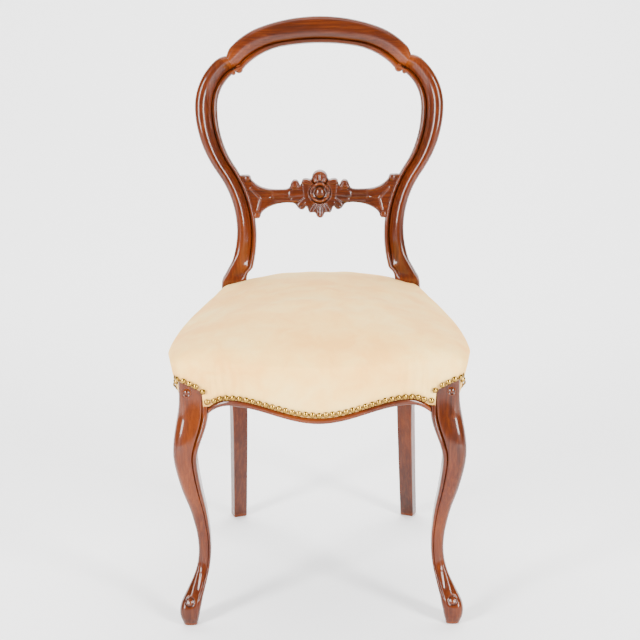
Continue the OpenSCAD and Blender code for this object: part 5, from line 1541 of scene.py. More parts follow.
    def boss(self, u: Array, v: Array, h: Array) -> Array:
        """The ring of notched petals and the boss in its dish, over the relief h."""
        r, turn = np.hypot(u, v), np.arctan2(v, np.maximum(u, 1e-6))
        petals = 4.9 + 0.55 * np.cos(8 * turn + math.pi / 2)
        h = mix(h, petals, np.exp(-(((r - 14.6) / 2.3) ** 4)))
        h = h - 1.9 * bell(r - 18.2, 1.2) - 1.5 * bell(r - 12.0, 0.9)
        h = np.where(r < 11.4, 3.2 - 1.6 * bell(r - 9.9, 1.5), h)
        boss = np.sqrt(np.clip(1 - (u / 8.4) ** 2 - (v / 9.7) ** 2, 0, 1))
        return np.where(boss > 0, np.maximum(h, 2.2 + 5.2 * boss), h)

    def ends(self, u: Array, v: Array, h: Array) -> Array:
        """The sunk end panels with beads, a branching ridge and knobs, over the relief h."""
        edge = np.minimum((table_at(self.TOP, u) - v) * 0.86, (v - table_at(self.LOW, u)) * 0.86)
        panel = 1.5 * bell(edge - 2.9, 1.9) - 2.1 * ease((edge - 4.2) / 2.2) * ease((u - 80) / 8)
        ridge = np.max([lump(u, v, *line) for line in self.END_RIDGES], axis=0)
        h = mix(h, panel + ridge * ease((edge - 2.6) / 2), ease((u - 76) / 9))
        for x, z, r, height in self.END_KNOBS:
            h = np.maximum(h, height * dome(np.hypot(u - x, v - z), r))
        return h

    def relief(self, u: Array, v: Array) -> Array:
        """Height of the carving over the bar's face.

        Args:
            u: places across, measured outwards from the middle.
            v: places upwards from the rail's centre.

        Returns:
            The heights in millimetres.
        """
        h = self.bar(u, v)
        for layer in (self.cartouche, self.boss, self.ends):
            h = layer(u, v, h)
        return h

    def build(self) -> None:
        """Build and dress the cross rail."""
        u, low, top = self.columns()
        outline = self.outline(u, low, top)
        u, low, top = (np.concatenate([sign * a[::-1], a[1:]]) for a, sign in ((u, -1), (low, 1), (top, 1)))
        s = np.linspace(0, 1, self.rows)
        s = mix(s, 0.5 - 0.5 * np.cos(math.pi * s), 0.6)
        across = np.repeat(u[:, None], self.rows, 1)
        v = low[:, None] + (top - low)[:, None] * s[None]
        tree = nearest_tree(outline)
        away = np.array([[tree(x, z) for x, z in zip(a, b)] for a, b in zip(across, v)])
        beside_stile = np.abs(u)[:, None] > 112
        away = np.where(beside_stile, np.maximum(away, np.minimum((top[:, None] - v), 9)), away)
        near = (1 - away / self.edge_r).clip(0, 1)
        rounding = self.edge_r * (1 - np.sqrt(1 - near**2))
        front = self.thick / 2 + self.relief(np.abs(across), v) * ease(away / 2.4 + 0.15) - rounding
        s = np.linspace(0, 1, self.back_rows)
        rear_v = top[:, None] + (low - top)[:, None] * s[None]
        inset = np.minimum(s, 1 - s)[None] * (top - low)[:, None]
        near = (1 - inset / self.back_edge_r).clip(0, 1)
        rear = np.repeat(-self.thick / 2, len(u))[:, None] + self.back_edge_r * (1 - np.sqrt(1 - near**2))
        rear_u = np.repeat(u[:, None], self.back_rows, 1)
        shape = np.concatenate([np.stack([across, v, front], -1), np.stack([rear_u, rear_v, rear], -1)], 1)
        piece = Shell().loft(moved(shape, BACK.place(0, self.cross_h))).build("carved_cross_rail", 50)
        dress_mahogany(piece, "cross_rail", Grain.ACROSS, 10)


def nearest_tree(outline: Array) -> Callable[[float, float], float]:
    """A function that gives the distance from a place to a line of points."""
    tree = KDTree(len(outline))
    for i, (x, z) in enumerate(outline):
        tree.insert((x, z, 0), i)
    tree.balance()
    return lambda x, z: tree.find((x, z, 0))[2]


@dataclass
class SeatFrame(PieceMaker):
    """The serpentine front rail with its bead, and the plain members of the seat's frame."""

    low_h: float = 341
    rise: float = 25
    shoulder_x: float = 135
    haunch_w: float = 52
    haunch_h: float = 60
    bead_h: float = 9
    bead_proud: float = 3
    fit: float = 0.2

    # The quirk over the bead: places from the rail's face to the rear, and upwards from its lower edge
    QUIRK = [(-0.2, 9.0), (0.9, 9.3), (1.1, 9.9), (0.1, 10.4)]

    def serpentine(self, x: Number) -> Array:
        """Height of the front rail's lower edge."""
        x = np.abs(np.asarray(x, float))
        wave = self.low_h + self.rise * (1 - np.cos(math.pi * x / self.shoulder_x)) / 2
        drop = 1 - np.sqrt(1 - np.clip((x - self.shoulder_x) / self.haunch_w, 0, 1) ** 2)
        return np.where(x <= self.shoulder_x, wave, self.low_h + self.rise - self.haunch_h * drop)

    def bow_y(self, x: Number) -> Number:
        """Front of the front rail."""
        return CHAIR.rail_face_y + CHAIR.rail_bow * (np.asarray(x, float) / CHAIR.post_inner_x) ** 2

    def front_rail(self) -> Shell:
        """The front rail."""
        half, thick, top = self.bead_h * 0.5, CHAIR.rail_t, CHAIR.rail_top_h
        bead = [(-self.bead_proud * math.cos(a), half + half * math.sin(a))
                for a in np.linspace(-math.pi * 0.42, math.pi * 0.4, 18)]
        foot = [(thick, 0.6), (thick * 0.5, 0.6), (2, 0.6), (0.6, 0.2), *bead, *self.QUIRK]
        rings = []
        for x in np.linspace(-CHAIR.post_inner_x + self.fit, CHAIR.post_inner_x - self.fit, 240):
            y, z = float(self.bow_y(x)), float(self.serpentine(x))
            ring = [(x, y + back, z + up) for back, up in foot]
            ring += [(x, y, z + (top - z) * s) for s in (0.4, 0.7, 1)]
            rings.append(ring + [(x, y + thick, top), (x, y + thick, (z + top) / 2)])
        return Shell().loft(np.asarray(rings))

    def build(self) -> None:
        """Build and dress the front rail, and dress the plain members."""
        dress_mahogany(self.front_rail().build("serpentine_front_rail", 45), "front_rail", Grain.ACROSS)
        across, deep = (FrenchPolishedMahogany(grain=g).material() for g in (Grain.ACROSS, Grain.DEEP))
        flat, upright = (PlainBeech(grain=g).material() for g in (Grain.ACROSS, Grain.UPRIGHT))
        plain = {
            "rear_rail": across, "side_rail_left": deep, "side_rail_right": deep, "webbing_batten": flat,
            "crest_dowels": upright,
        }
        plain |= {f"corner_block_{end}_{side}": upright for end in ("front", "rear") for side in ("left", "right")}
        dress_nodes(plain)


def dress_nodes(finishes: dict[str, Material]) -> None:
    """Give CAD nodes that are shown as they are their materials."""
    for node, material in finishes.items():
        mesh = frame["nodes"][node].data
        mesh.materials.clear()
        mesh.materials.append(material)
        LOG.info("%s: shown as built, in %s", node, material.name)


@dataclass
class SeatForm:
    """The seat's outline, wall, edge roll and dome, the same as the part's source."""

    girth_h: float = 430
    crown_rise: float = 73
    side_rim_h: float = 364
    corner_r: float = 8
    roll: float = 0.1
    fit: float = 0.2
    side_full: float = 5

    # Height on the wall as a share, with the share of the swell reached there
    WALL = [[0, 0], [0.3, 0.35], [0.66, 0.78], [1, 1]]
    # The cover's edge over a front post: places across and heights, then places along its side and heights
    POST_FACE = [(177, 362), (177.7, 374), (178.5, 386), (184, 389), (190, 392), (196, 395), (201, 397.5), (206, 400)]
    POST_SIDE = [(8, 401), (14, 400), (20, 399), (26.4, 398), (31, 392), (35.5, 386), (36.2, 375), (37, 364)]

    def front_rows(self) -> list[list[float]]:
        """Rows from the middle of the front to the outer side of the post."""
        c, rail, swell, r = CHAIR, SeatFrame(), CHAIR.front_swell, self.corner_r
        rows = []
        for x in np.linspace(0, 0.976 * c.post_inner_x, 64):
            n = unit(np.array([2 * c.rail_bow * x / c.post_inner_x**2, -1.0]))
            rows.append([x, float(rail.bow_y(x)), n[0], n[1], float(rail.serpentine(x)) + rail.bead_h + 0.8, swell])
        rows += [[x, c.post_face_y, 0, -1, z, swell * 0.8] for x, z in self.POST_FACE]
        for a in np.linspace(10, 80, 8):
            s, k = math.sin(math.radians(a)), math.cos(math.radians(a))
            rows.append([c.post_face_x - r + r * s, c.post_face_y + r - r * k, s, -k, 402 - 2 * abs(a - 45) / 45,
                         mix(swell * 0.8, c.side_swell * 0.42, a / 90)])
        return rows + [[c.post_face_x, c.post_face_y + y, 1, 0, z, c.side_swell * mix(0.45, 0.85, y / c.post_w)]
                       for y, z in self.POST_SIDE]

    def side_rows(self) -> list[list[float]]:
        """Rows along the side and round to the middle of the rear."""
        c = CHAIR
        front, rear, out = c.post_back_y + self.fit, c.hip_front_y - self.fit, c.post_face_x - 1
        lean = math.atan2(out - c.rear_w / 2, rear - front)
        rows = []
        for s in np.linspace(0.02, 1, 58):
            a = lean - math.atan(c.side_bow * 4 * (1 - 2 * s) / (rear - front))
            rows.append([mix(out, c.rear_w / 2, s) + c.side_bow * 4 * s * (1 - s), mix(front, rear, s), math.cos(a),
                         math.sin(a), self.side_rim_h,
                         c.side_swell * mix(1, 0.4, float(ease(s))) + self.side_full * math.sin(math.pi * s) ** 0.8])
        for s in np.linspace(0, 1, 12)[1:]:
            rows.append([c.rear_w / 2, mix(rear, c.hip_back_y - self.corner_r, s), 1, 0, self.side_rim_h,
                         c.side_swell * mix(0.4, 0.2, s)])
        rows += [[c.rear_w / 2 * s, c.hip_back_y, 0, 1, self.side_rim_h, 1.5]
                 for s in np.concatenate([np.linspace(0.94, 0.7, 26), np.linspace(0.68, 0, 36)])]
        return rows

    def rows(self) -> Array:
        """Rows all the way round: x, y, outward direction, height of the cover's edge, swell."""
        half = np.array(self.front_rows() + self.side_rows(), float)
        other = half[-2:0:-1] * (-1, 1, -1, 1, 1, 1)
        return np.concatenate([half, other])

    def dome_h(self, x: Array, y: Array) -> Array:
        """Height of the seat's top."""
        c = CHAIR
        v = (y - c.seat_mid_y) / ((c.hip_back_y - c.rail_face_y) / 2 + c.front_swell)
        half_w = mix(c.post_face_x + c.side_swell, c.rear_w / 2 + c.side_swell * 0.4, (v + 1) / 2)
        edge = np.where(v < 0, c.crown_h - self.crown_rise * 0.63, c.crown_h - self.crown_rise * 0.274)
        ridge = mix(edge, c.crown_h, 1 - np.minimum(1, np.abs(v)) ** 2.8)
        side = c.crown_h - self.crown_rise * 0.575
        return mix(side, ridge, 1 - np.minimum(1, np.abs(x) / half_w) ** 2.3)

    def wall_ring(self, share: float, skin: float) -> Array:
        """Ring on the wall, at a share of its height."""
        p = self.rows()
        off = skin + p[:, 5] * float(table_at(self.WALL, share))
        return np.stack([p[:, 0] + p[:, 2] * off, p[:, 1] + p[:, 3] * off, mix(p[:, 4], self.girth_h, share)], 1)

    def dome_ring(self, s: float, skin: float, drop: float, rise: float = 1.0) -> Array:
        """Ring over the top, at a share of the way out from the middle."""
        p, centre = self.rows(), np.array([0, CHAIR.seat_mid_y])
        girth = p[:, :2] + p[:, 2:4] * (skin + p[:, 5:6])
        c = centre + (girth - centre) * s
        return np.column_stack([c, mix(self.girth_h, self.dome_h(c[:, 0], c[:, 1]) - drop, rise)])

    def level_ring(self, s: float, z: float) -> Array:
        """Level ring at a share of the frame's outline."""
        p, centre = self.rows(), np.array([0, CHAIR.seat_mid_y])
        c = centre + (p[:, :2] - centre) * s
        return np.column_stack([c, np.full(len(c), z)])

    def rings(self, skin: float, drop: float, walls: int = 22, rolls: int = 14, domes: int = 34) -> Array:
        """Rings from the cover's edge up the wall and over the top."""
        made = [self.wall_ring(s, skin) for s in np.linspace(0, 1, walls)]
        angles = np.linspace(0, math.pi / 2, rolls + 1)[1:]
        made += [self.dome_ring(1 - self.roll * (1 - math.cos(a)), skin, drop, math.sin(a)) for a in angles]
        made += [self.dome_ring(s, skin, drop) for s in np.linspace(1 - self.roll, 0.01, domes)[1:]]
        return np.asarray(made)

    @staticmethod
    def tuck(rings: Array, gap: float) -> Array:
        """Draw rings in round the rear legs, towards the seat's middle.

        Args:
            rings: points of a layer of the seat.
            gap: clearance to the legs.

        Returns:
            The points, with those in the legs' way brought to the notch's walls.
        """
        wall_x, wall_y, mid = CHAIR.hip_inner_x - gap - 0.9, CHAIR.hip_front_y - gap, CHAIR.seat_mid_y
        out = np.array(rings, float)
        x, y = np.abs(out[..., 0]), out[..., 1] - mid
        inside = (x > wall_x) & (y > wall_y - mid)
        share = np.maximum(wall_x / np.maximum(x, 1e-6), (wall_y - mid) / np.maximum(y, 1e-6))
        share = np.where(inside, share, 1)
        out[..., 0] *= share
        out[..., 1] = mid + y * share
        return out


@dataclass
class Upholstery(PieceMaker):
    """The stuffing and the cream cover, drawn down over the frame to the nails."""

    form: SeatForm
    gap: float = 0.4
    thick: float = 1.6
    layer_gap: float = 0.4
    crease_gain: float = 1.4

    # Creases on the front wall: place, lean, half width, depth
    CREASES = [
        [118, 5, 3.2, 0.7], [133, 3, 2.4, 1.0], [146, 6, 2.8, 1.2], [158, 2, 2.1, 1.3], [168, -3, 2.6, 1.5],
        [179, -6, 2.2, 1.2], [190, -8, 3.0, 1.0], [203, -10, 2.6, 0.8],
    ]
    # Creases on the side walls: place, half width, depth
    SIDE_CREASES = [[-208, 2.6, 1.0], [-196, 3.2, 1.1], [-183, 2.8, 0.9], [-168, 4.2, 0.6]]

    def worn(self, rings: Array, walls: int) -> Array:
        """Creases above the front legs, the pull of the nails and soft unevenness of the stuffing.

        Args:
            rings: outer rings of the cover from its edge to the middle of its top.
            walls: how many of them are on the wall.

        Returns:
            The rings with the cloth's marks.
        """
        p, out = self.form.rows(), rings.copy()
        n_x, n_y, edge = (p[None, :, i] for i in (2, 3, 4))
        x, y, z = (rings[..., i] for i in range(3))
        up = (z - edge) / (self.form.girth_h - edge)
        inward = 0.55 * bell(z - edge - 4.8, 3.6) * (np.arange(len(rings)) < walls)[:, None]
        fade = ease(up / 0.16) * (1 - ease((up - 0.75) / 0.75)) * ease((-n_y - 0.2) / 0.5)
        for place, lean, half, depth in self.CREASES:
            off = np.abs(x) - place - lean * (up - 0.3) + 0.8 * np.sin(place + 5 * up)
            fold = bell(off, half) - 0.5 * bell(off - 2.2 * half, half)
            inward = inward + self.crease_gain * depth * fold * fade
        side = ease((n_x * np.sign(x + 1e-9) - 0.5) / 0.3) * ease(up / 0.2) * (1 - ease((up - 0.7) / 0.7))
        for place, half, depth in self.SIDE_CREASES:
            inward = inward + depth * bell(y - place + 3 * up, half) * side
        out[..., 0] -= n_x * inward
        out[..., 1] -= n_y * inward
        draw = np.random.default_rng(11)
        waves = np.zeros_like(z)
        for _ in range(14):
            length, turn, phase = draw.uniform(45, 120), draw.uniform(0, math.pi), draw.uniform(0, 6.28)
            waves += np.sin((x * math.cos(turn) + y * math.sin(turn)) * 2 * math.pi / length + phase)
        over = ease((np.arange(len(rings)) - walls) / 10)[:, None]
        out[..., 2] += (0.2 * waves - 0.5) * over
        return out

    def cover(self) -> None:
        """The cover: a thin skin, open below."""
        walls = 30
        outer = self.worn(self.form.rings(self.gap + self.thick, 0, walls), walls)
        inner = self.form.rings(self.gap, self.thick, 10, 8, 16)
        outer, inner = self.form.tuck(outer, self.gap), self.form.tuck(inner, self.gap + self.thick)
        piece = Shell().loft(np.concatenate([outer[::-1], inner])).build("cream_seat_cover", 80)
        points = read_points(piece.data)
        edge, count = np.full(len(points), self.form.girth_h), len(outer) + len(inner)
        edge[: outer.shape[1] * count] = np.tile(self.form.rows()[:, 4], count)
        height = points[:, 2] / MM
        # Painted shade: a dark band just above the nail line as the shadow between the nails, and a faint darkening
        # of the top
        soil = 1.3 * bell(height - edge, 8) * (height > edge - 1) + 0.14 * ease((height - 446) / 26)
        store(piece, "soil", soil)
        finish_piece(piece, BrushedSuedeCloth().material(), ["seat_cover"])

    def stuffing(self) -> None:
        """The stuffing between the hessian and the cover."""
        p, gap = self.form.rows(), self.layer_gap
        low, high = node_heights("spring_hessian")
        thick = SprungBase.hessian_t
        top = self.form.rings(-2 * gap, self.thick + 3 * gap, 2, 10, 22)[1:]
        foot = np.column_stack([p[:, :2] + p[:, 2:4] * p[:, 5:6] * 0.6, np.full(len(p), low + thick + gap)])
        under = [self.form.level_ring(s, mix(low, high - thick, k) + thick + gap) for s, k in HESSIAN_SHARES]
        rings = self.form.tuck(np.concatenate([top[::-1], [foot], under]), self.gap + gap)
        piece = Shell().loft(rings).build("hair_stuffing", 60)
        finish_piece(piece, HairStuffing().material(), ["seat_stuffing"])

    def build(self) -> None:
        """Build and dress the stuffing and the cover."""
        self.stuffing()
        self.cover()


HESSIAN_SHARES = [[0.985, 0], [0.955, 0], [0.93, 0.2], [0.86, 0.62], [0.8, 0.9], [0.74, 1], [0.5, 1], [0.2, 1]]


def node_points(node: str) -> Array:
    """Points of a CAD node in millimetres."""
    return read_points(frame["nodes"][node].data) / MM


def node_heights(node: str) -> tuple[float, float]:
    """Lowest and highest place of a CAD node in millimetres."""
    z = node_points(node)[:, 2]
    return float(z.min()), float(z.max())


def fastener_spots(node: str) -> tuple[Array, Array]:
    """Foot and heading of each domed head in a CAD node.

    Args:
        node: name of the node whose solids are the heads.

    Returns:
        The middles of the heads' undersides, and the directions they point in.
    """
    mesh = frame["nodes"][node].data
    points, same = np.unique(np.round(node_points(node), 3), axis=0, return_inverse=True)
    edges = np.empty(2 * len(mesh.edges), np.int32)
    mesh.edges.foreach_get("vertices", edges)
    edges = same.ravel()[edges].reshape(-1, 2)
    label = np.arange(len(points))
    while True:
        low = np.minimum(label[edges[:, 0]], label[edges[:, 1]])
        new = label.copy()
        np.minimum.at(new, edges[:, 0], low)
        np.minimum.at(new, edges[:, 1], low)
        if (new == label).all():
            break
        label = new
    spots, headings = [], []
    for k in np.unique(label):
        cloud = points[label == k]
        middle = (cloud.min(0) + cloud.max(0)) / 2
        axis = np.linalg.svd(cloud - cloud.mean(0), full_matrices=False)[2][2]
        along = (cloud - middle) @ axis
        radius = np.linalg.norm((cloud - middle) - along[:, None] * axis, axis=1)
        base = float(np.median(along[radius > 0.85 * radius.max()]))
        if along.max() - base < base - along.min():
            axis, along, base = -axis, -along, -base
        rim = cloud[np.abs(along - base) < 0.2]
        spots.append((rim.min(0) + rim.max(0)) / 2)
        headings.append(axis)
    return np.asarray(spots), np.asarray(headings)


@dataclass
class NailRows(PieceMaker):
    """The domed brass nails along the cover's edge."""

    diameter: float = 9.4
    uneven: float = 0.03

    OUTLINE = [[0, 0.005], [0.46, 0], [0.5, 0.035], [0.485, 0.1], [0.43, 0.125], [0.36, 0.19], [0.25, 0.275],
               [0.12, 0.33], [0, 0.345]]

    def head(self) -> Piece:
        """One head of unit diameter, pointing up."""
        outline = [[r / MM, h / MM] for r, h in self.OUTLINE]
        piece = Shell().lathe(outline, Matrix.Identity(4), 18).build("nail_head", 30)
        points = read_points(piece.data)
        rim = np.clip((np.hypot(points[:, 0], points[:, 1]) - 0.3) / 0.15, 0, 1)
        store(piece, "rim", rim)
        return piece

    def build(self) -> None:
        """Build and dress the nails of each side."""
        tool, head, brass = fastener_tool(), self.head(), AntiqueBrass().material()
        for seed, side in enumerate(("front", "left", "right", "rear")):
            spots, headings = fastener_spots(f"nails_{side}")
            piece = spot_object(f"brass_nails_{side}", spots, headings)
            tool.bake(piece, Head=head, Head_diameter=self.diameter * MM, Uneven_size=self.uneven, Seed=seed + 3,
                      Finish=brass)
            finish_piece(piece, brass, [f"nails_{side}"])
        bpy.data.objects.remove(head)


def lay_uv(piece: Piece, origin: Spot, across: Spot, along: Spot) -> None:
    """Lay a UV map in metres over a piece.

    Args:
        piece: the object.
        origin: the map's origin in millimetres.
        across: direction of the map's first axis.
        along: direction of its second axis.
    """
    mesh = piece.data
    corner = np.zeros(len(mesh.loops), np.int32)
    mesh.loops.foreach_get("vertex_index", corner)
    points = read_points(mesh)[corner] - np.asarray(origin, float) * MM
    layer = mesh.uv_layers.new(name="flat")
    places = np.stack([points @ np.asarray(across, float), points @ np.asarray(along, float)], 1)
    layer.data.foreach_set("uv", places.astype(np.float32).ravel())


def merge_into(piece: Piece, other: Piece) -> None:
    """Add another object's mesh to a piece and remove that object."""
    shape = bmesh.new()
    shape.from_mesh(piece.data)
    shape.from_mesh(other.data)
    shape.to_mesh(piece.data)
    shape.free()
    bpy.data.objects.remove(other)


@dataclass
class SprungBase(PieceMaker):
    """Webbing, springs, lashing and hessian in the seat, the dust cover and the small steel fixings."""

    form: SeatForm
    web_w: float = 50
    web_t: float = 1.6
    web_gap: float = 0.3
    web_seat: float = 12
    web_inset: float = 18
    web_side_inset: float = 19.5
    wire_d: float = 3.6
    spring_r: float = 38
    waist_r: float = 24
    turns: float = 4.5
    spring_h: float = 80
    cord_d: float = 2.8
    cord_lay: float = 12
    knot_d: float = 4.2
    hessian_t: float = 1.2
    dust_t: float = 0.6
    dust_inset: float = 5.0
    rear_rail_t: float = 28
    fit: float = 0.2
    RAILS = ["front_rail", "rear_rail", "side_rail_left", "side_rail_right"]
    # The dust cover's rings: share of its outline, and of its edge's height over its hollow
    DUST_SHARES = [[1, 1], [0.986, 1], [0.972, 1], [0.968, 0.5], [0.962, 0.06], [0.94, 0], [0.8, 0], [0.6, 0],
                   [0.4, 0], [0.2, 0], [0.05, 0]]

    @property
    def web_over(self) -> float:
        """Middle of a strip where it lies uppermost."""
        return CHAIR.rail_under_h - self.web_gap - self.web_t / 2

    @property
    def web_under(self) -> float:
        """Middle of a strip where it lies below another."""
        return self.web_over - self.web_t - self.web_gap

    @property
    def spacing(self) -> float:
        """Distance of the strips that run from front to rear."""
        return CHAIR.hip_inner_x * 0.6

    @property
    def front_y(self) -> float:
        """Front of the batten that carries the webbing."""
        return CHAIR.post_back_y + 4

    @property
    def rear_y(self) -> float:
        """Inside of the rear rail."""
        return CHAIR.hip_back_y - self.rear_rail_t

    @property
    def cross_ys(self) -> list[float]:
        """Places of the strips that run across."""
        return [mix(self.front_y, self.rear_y, s) for s in (0.16, 0.465, 0.77)]

    def side_x(self, y: float) -> float:
        """Outside of the side rail."""
        front, rear, out = CHAIR.post_back_y + self.fit, CHAIR.hip_front_y - self.fit, CHAIR.post_face_x - 1
        s = (y - front) / (rear - front)
        return mix(out, CHAIR.rear_w / 2, s) + CHAIR.side_bow * 4 * s * (1 - s)

    def strip(self, name: str, ends: Spot, crossings: Spot, first: int, place: Matrix) -> None:
        """One strip of webbing, woven over and under the others.

        Args:
            name: the CAD node that it stands for.
            ends: where it starts and ends along its length.
            crossings: where the others cross it.
            first: 0 if it lies over the first of them, 1 if under.
            place: turns and moves it from along Y into its place.
        """
        half = self.web_w / 2 + (crossings[1] - crossings[0] - self.web_w) * 0.23
        keys = [(ends[0], self.web_over), (ends[0] + self.web_seat, self.web_over)]
        for i, c in enumerate(crossings):
            level = self.web_over if (i + first) % 2 == 0 else self.web_under
            keys += [(c - half, level), (c + half, level)]
        keys += [(ends[1] - self.web_seat, self.web_over), (ends[1], self.web_over)]
        s, z = np.array(keys).T
        along = np.linspace(ends[0], ends[1], 130)
        k = np.clip(np.searchsorted(s, along) - 1, 0, len(s) - 2)
        level = mix(z[k], z[k + 1], ease((along - s[k]) / (s[k + 1] - s[k])))
        across = np.linspace(-1, 1, 15)
        across = np.sign(across) * np.abs(across) ** 0.7 * self.web_w / 2
        thick = self.web_t / 2 * np.where(np.abs(across) > self.web_w / 2 - 0.2, 0.55, 1)
        turn = np.array(place)
        rings = []
        for a, h in zip(along, level):
            top = np.column_stack([across, np.full(15, a), h + thick])
            low = np.column_stack([across, np.full(15, a), h - thick])[::-1]
            rings.append(moved(np.concatenate([top, low]), place))
        piece = Shell().loft(np.asarray(rings)).build(f"jute_{name}", 60)
        lay_uv(piece, turn[:3, 3], turn[:3, 0], turn[:3, 1])
        length = float(np.hypot(np.diff(along), np.diff(level)).sum()) * MM
        finish_piece(piece, WovenCloth(stripe="#5C3A22").material(), [name], f"cut to {length:.3f} m")

    def webbing(self) -> None:
        """Three strips each way."""
        ends = (self.front_y - 10, CHAIR.hip_back_y - self.web_inset)
        places = [-self.spacing, 0, self.spacing]
        for i, side in enumerate(("left", "middle", "right")):
            place = Matrix.Translation(((i - 1) * self.spacing, 0, 0))
            self.strip(f"webbing_long_{side}", ends, self.cross_ys, i % 2, place)
        for j, (side, y) in enumerate(zip(("front", "middle", "rear"), self.cross_ys)):
            reach = self.side_x(y) - self.web_side_inset
            place = Matrix.Translation((0, y, 0)) @ Matrix.Rotation(-math.pi / 2, 4, "Z")
            self.strip(f"webbing_cross_{side}", (-reach, reach), places, (j + 1) % 2, place)

    def springs(self) -> None:
        """Five double cone springs."""
        tool, steel = bar_tool(), Steel(use="spring_wire").material()
        s = np.linspace(0, 1, 220)
        a, r = 2 * math.pi * self.turns * s, mix(self.waist_r, self.spring_r, np.abs(2 * s - 1) ** 1.5)
        foot = CHAIR.rail_under_h + self.wire_d / 2
        z = foot + (self.spring_h - self.wire_d) * ease((s - 0.08) / 0.84)
        near, far, rear = self.spacing, self.spacing * 0.92, self.cross_ys
        spots = {"front_left": (-near, rear[0]), "front_right": (near, rear[0]), "centre": (0, rear[1]),
                 "rear_left": (-far, rear[2]), "rear_right": (far, rear[2])}
        for name, (x, y) in spots.items():
            piece = path_object(f"coil_spring_{name}", [np.stack([x + r * np.cos(a), y + r * np.sin(a), z], 1)])
            tool.bake(piece, Radius=self.wire_d / 2 * MM, Lobe_depth=0.0, Lobes=1, Twist_per_metre=0.0, Spacing=0.004,
                      Faces_round=10, Finish=steel)
            finish_piece(piece, steel, [f"spring_{name}"])

    def knots(self, spots: Sequence[tuple[Spot, float]]) -> Piece:
        """Round knots at places, each with its diameter."""
        balls = Shell()
        for spot, d in spots:
            outline = [[d / 2 * math.sin(t), -d / 2 * math.cos(t)] for t in np.linspace(0, math.pi, 9)]
            balls.lathe(outline, Matrix.Translation(spot), 12)
        return balls.build("lashing_knots")

    def lashing(self) -> None:
        """Cords over the springs, knotted where they cross."""
        lift, step = self.fit + self.knot_d / 2, 1.2
        top, rail = CHAIR.rail_under_h + self.spring_h + lift, CHAIR.rail_top_h + lift
        front, rear, over = SeatFrame(), self.rear_y + 6, top + step
        low, high = self.cross_ys[0] - self.spring_r, self.cross_ys[2] + self.spring_r
        paths, crossings = [], []
        for y in self.cross_ys:
            r, w = self.side_x(y) - 20, self.spacing + self.spring_r
            paths.append([[-r, y, rail], [-w, y, top], [0, y, top], [w, y, top], [r, y, rail]])
        for x in (-self.spacing, 0, self.spacing):
            paths.append([[x, float(front.bow_y(x)) + 20, rail], [x, low, over], [x, self.cross_ys[1], over],
                          [x, high, over], [x, rear, rail]])
            crossings += [[x, y, top + step / 2] for y in self.cross_ys]
        lines = [spline(np.array(p, float), per_span=14, sharp=(1, 3)) for p in paths]
        piece, hemp = path_object("hemp_lashing", lines), HempCord().material()
        bar_tool().bake(piece, Radius=self.cord_d / 2 * MM, Lobe_depth=0.1, Lobes=3, Spacing=0.0016, Faces_round=12,
                        Twist_per_metre=2 * math.pi / (self.cord_lay * MM), Finish=hemp)
        ends = [p[i] for p in paths for i in (0, 1, 3, 4)]
        spots = [(k, self.knot_d * 1.2) for k in crossings] + [(e, self.knot_d) for e in ends]
        merge_into(piece, self.knots(spots))
        finish_piece(piece, hemp, ["spring_lashing"])

    def hessian(self) -> None:
        """The hessian stretched over the lashed springs."""
        low, high = node_heights("spring_hessian")
        lifts = (self.hessian_t, 0)
        up, down = ([self.form.level_ring(s, mix(low, high - self.hessian_t, k) + lift) for s, k in HESSIAN_SHARES]
                    for lift in lifts)
        rings = self.form.tuck(np.asarray(up[::-1] + down), 0.4)
        piece = Shell().loft(rings).build("jute_hessian", 60)
        lay_uv(piece, (0, 0, 0), (1, 0, 0), (0, 1, 0))
        cloth = WovenCloth(use="hessian", dark="#7A5C35", light="#B8925A", yarn=1.9, relief=0.8).material()
        finish_piece(piece, cloth, ["spring_hessian"])

    def dust_outline(self) -> Array:
        """The dust cover's outline as a dense closed line."""
        c, inset, rear = CHAIR, self.dust_inset, CHAIR.hip_front_y - self.fit
        front, back, side = c.post_back_y, c.hip_back_y - inset - 2, c.hip_inner_x - inset
        half = [[0, front - 22], [c.post_inner_x - 24, front - 22], [c.post_inner_x - 2 * inset, front + 3],
                [self.side_x(front + self.fit) - inset - 2, front + 8],
                [self.side_x(c.seat_mid_y) - inset, c.seat_mid_y], [self.side_x(rear) - inset, rear - 8],
                [side, rear - inset], [side, back], [0, back]]
        line = np.array(half + [[-x, y] for x, y in half[-2:0:-1]], float)
        share = np.linspace(0, 1, 14)[:-1, None]
        return np.concatenate([mix(a, b, share) for a, b in zip(line, np.roll(line, -1, axis=0))])

    def dust_cover(self) -> None:
        """The black cloth tacked under the frame."""
        dense, centre = self.dust_outline(), np.array([0, CHAIR.seat_mid_y])
        edge_z = CHAIR.rail_under_h - self.fit - self.dust_t
        low_z = self.web_under - self.web_t / 2 - self.web_gap - self.dust_t

        def ring(s: float, k: float, lift: float) -> Array:
            """Ring at a share of the outline and of the edge's height, lifted."""
            at = centre + (dense - centre) * s
            sag = 1.6 * (1 - s**2) * (1 - k)
            return np.column_stack([at, np.full(len(at), mix(low_z, edge_z, k) + lift - sag)])

        top, low = ([ring(s, k, lift) for s, k in self.DUST_SHARES] for lift in (self.dust_t, 0))
        piece = Shell().loft(np.asarray(top[::-1] + low)).build("black_dust_cover", 60)
        lay_uv(piece, (0, 0, 0), (1, 0, 0), (0, 1, 0))
        cloth = WovenCloth(use="dust_cotton", dark="#080808", light="#1E1D1C", yarn=0.6, relief=0.3).material()
        finish_piece(piece, cloth, ["dust_cover"])
        edge = ring(1, 1, 0)

    def build(self) -> None:
        """Build and dress the base of the seat."""
        self.webbing()
        self.springs()
        self.lashing()
        self.hessian()
        self.dust_cover()
        dress_nodes({"webbing_tacks": Steel(use="blued_tacks").material(),
                     "dust_cover_tacks": Steel(use="blued_tacks").material(),
                     "block_screws": Steel(use="wood_screws").material()})


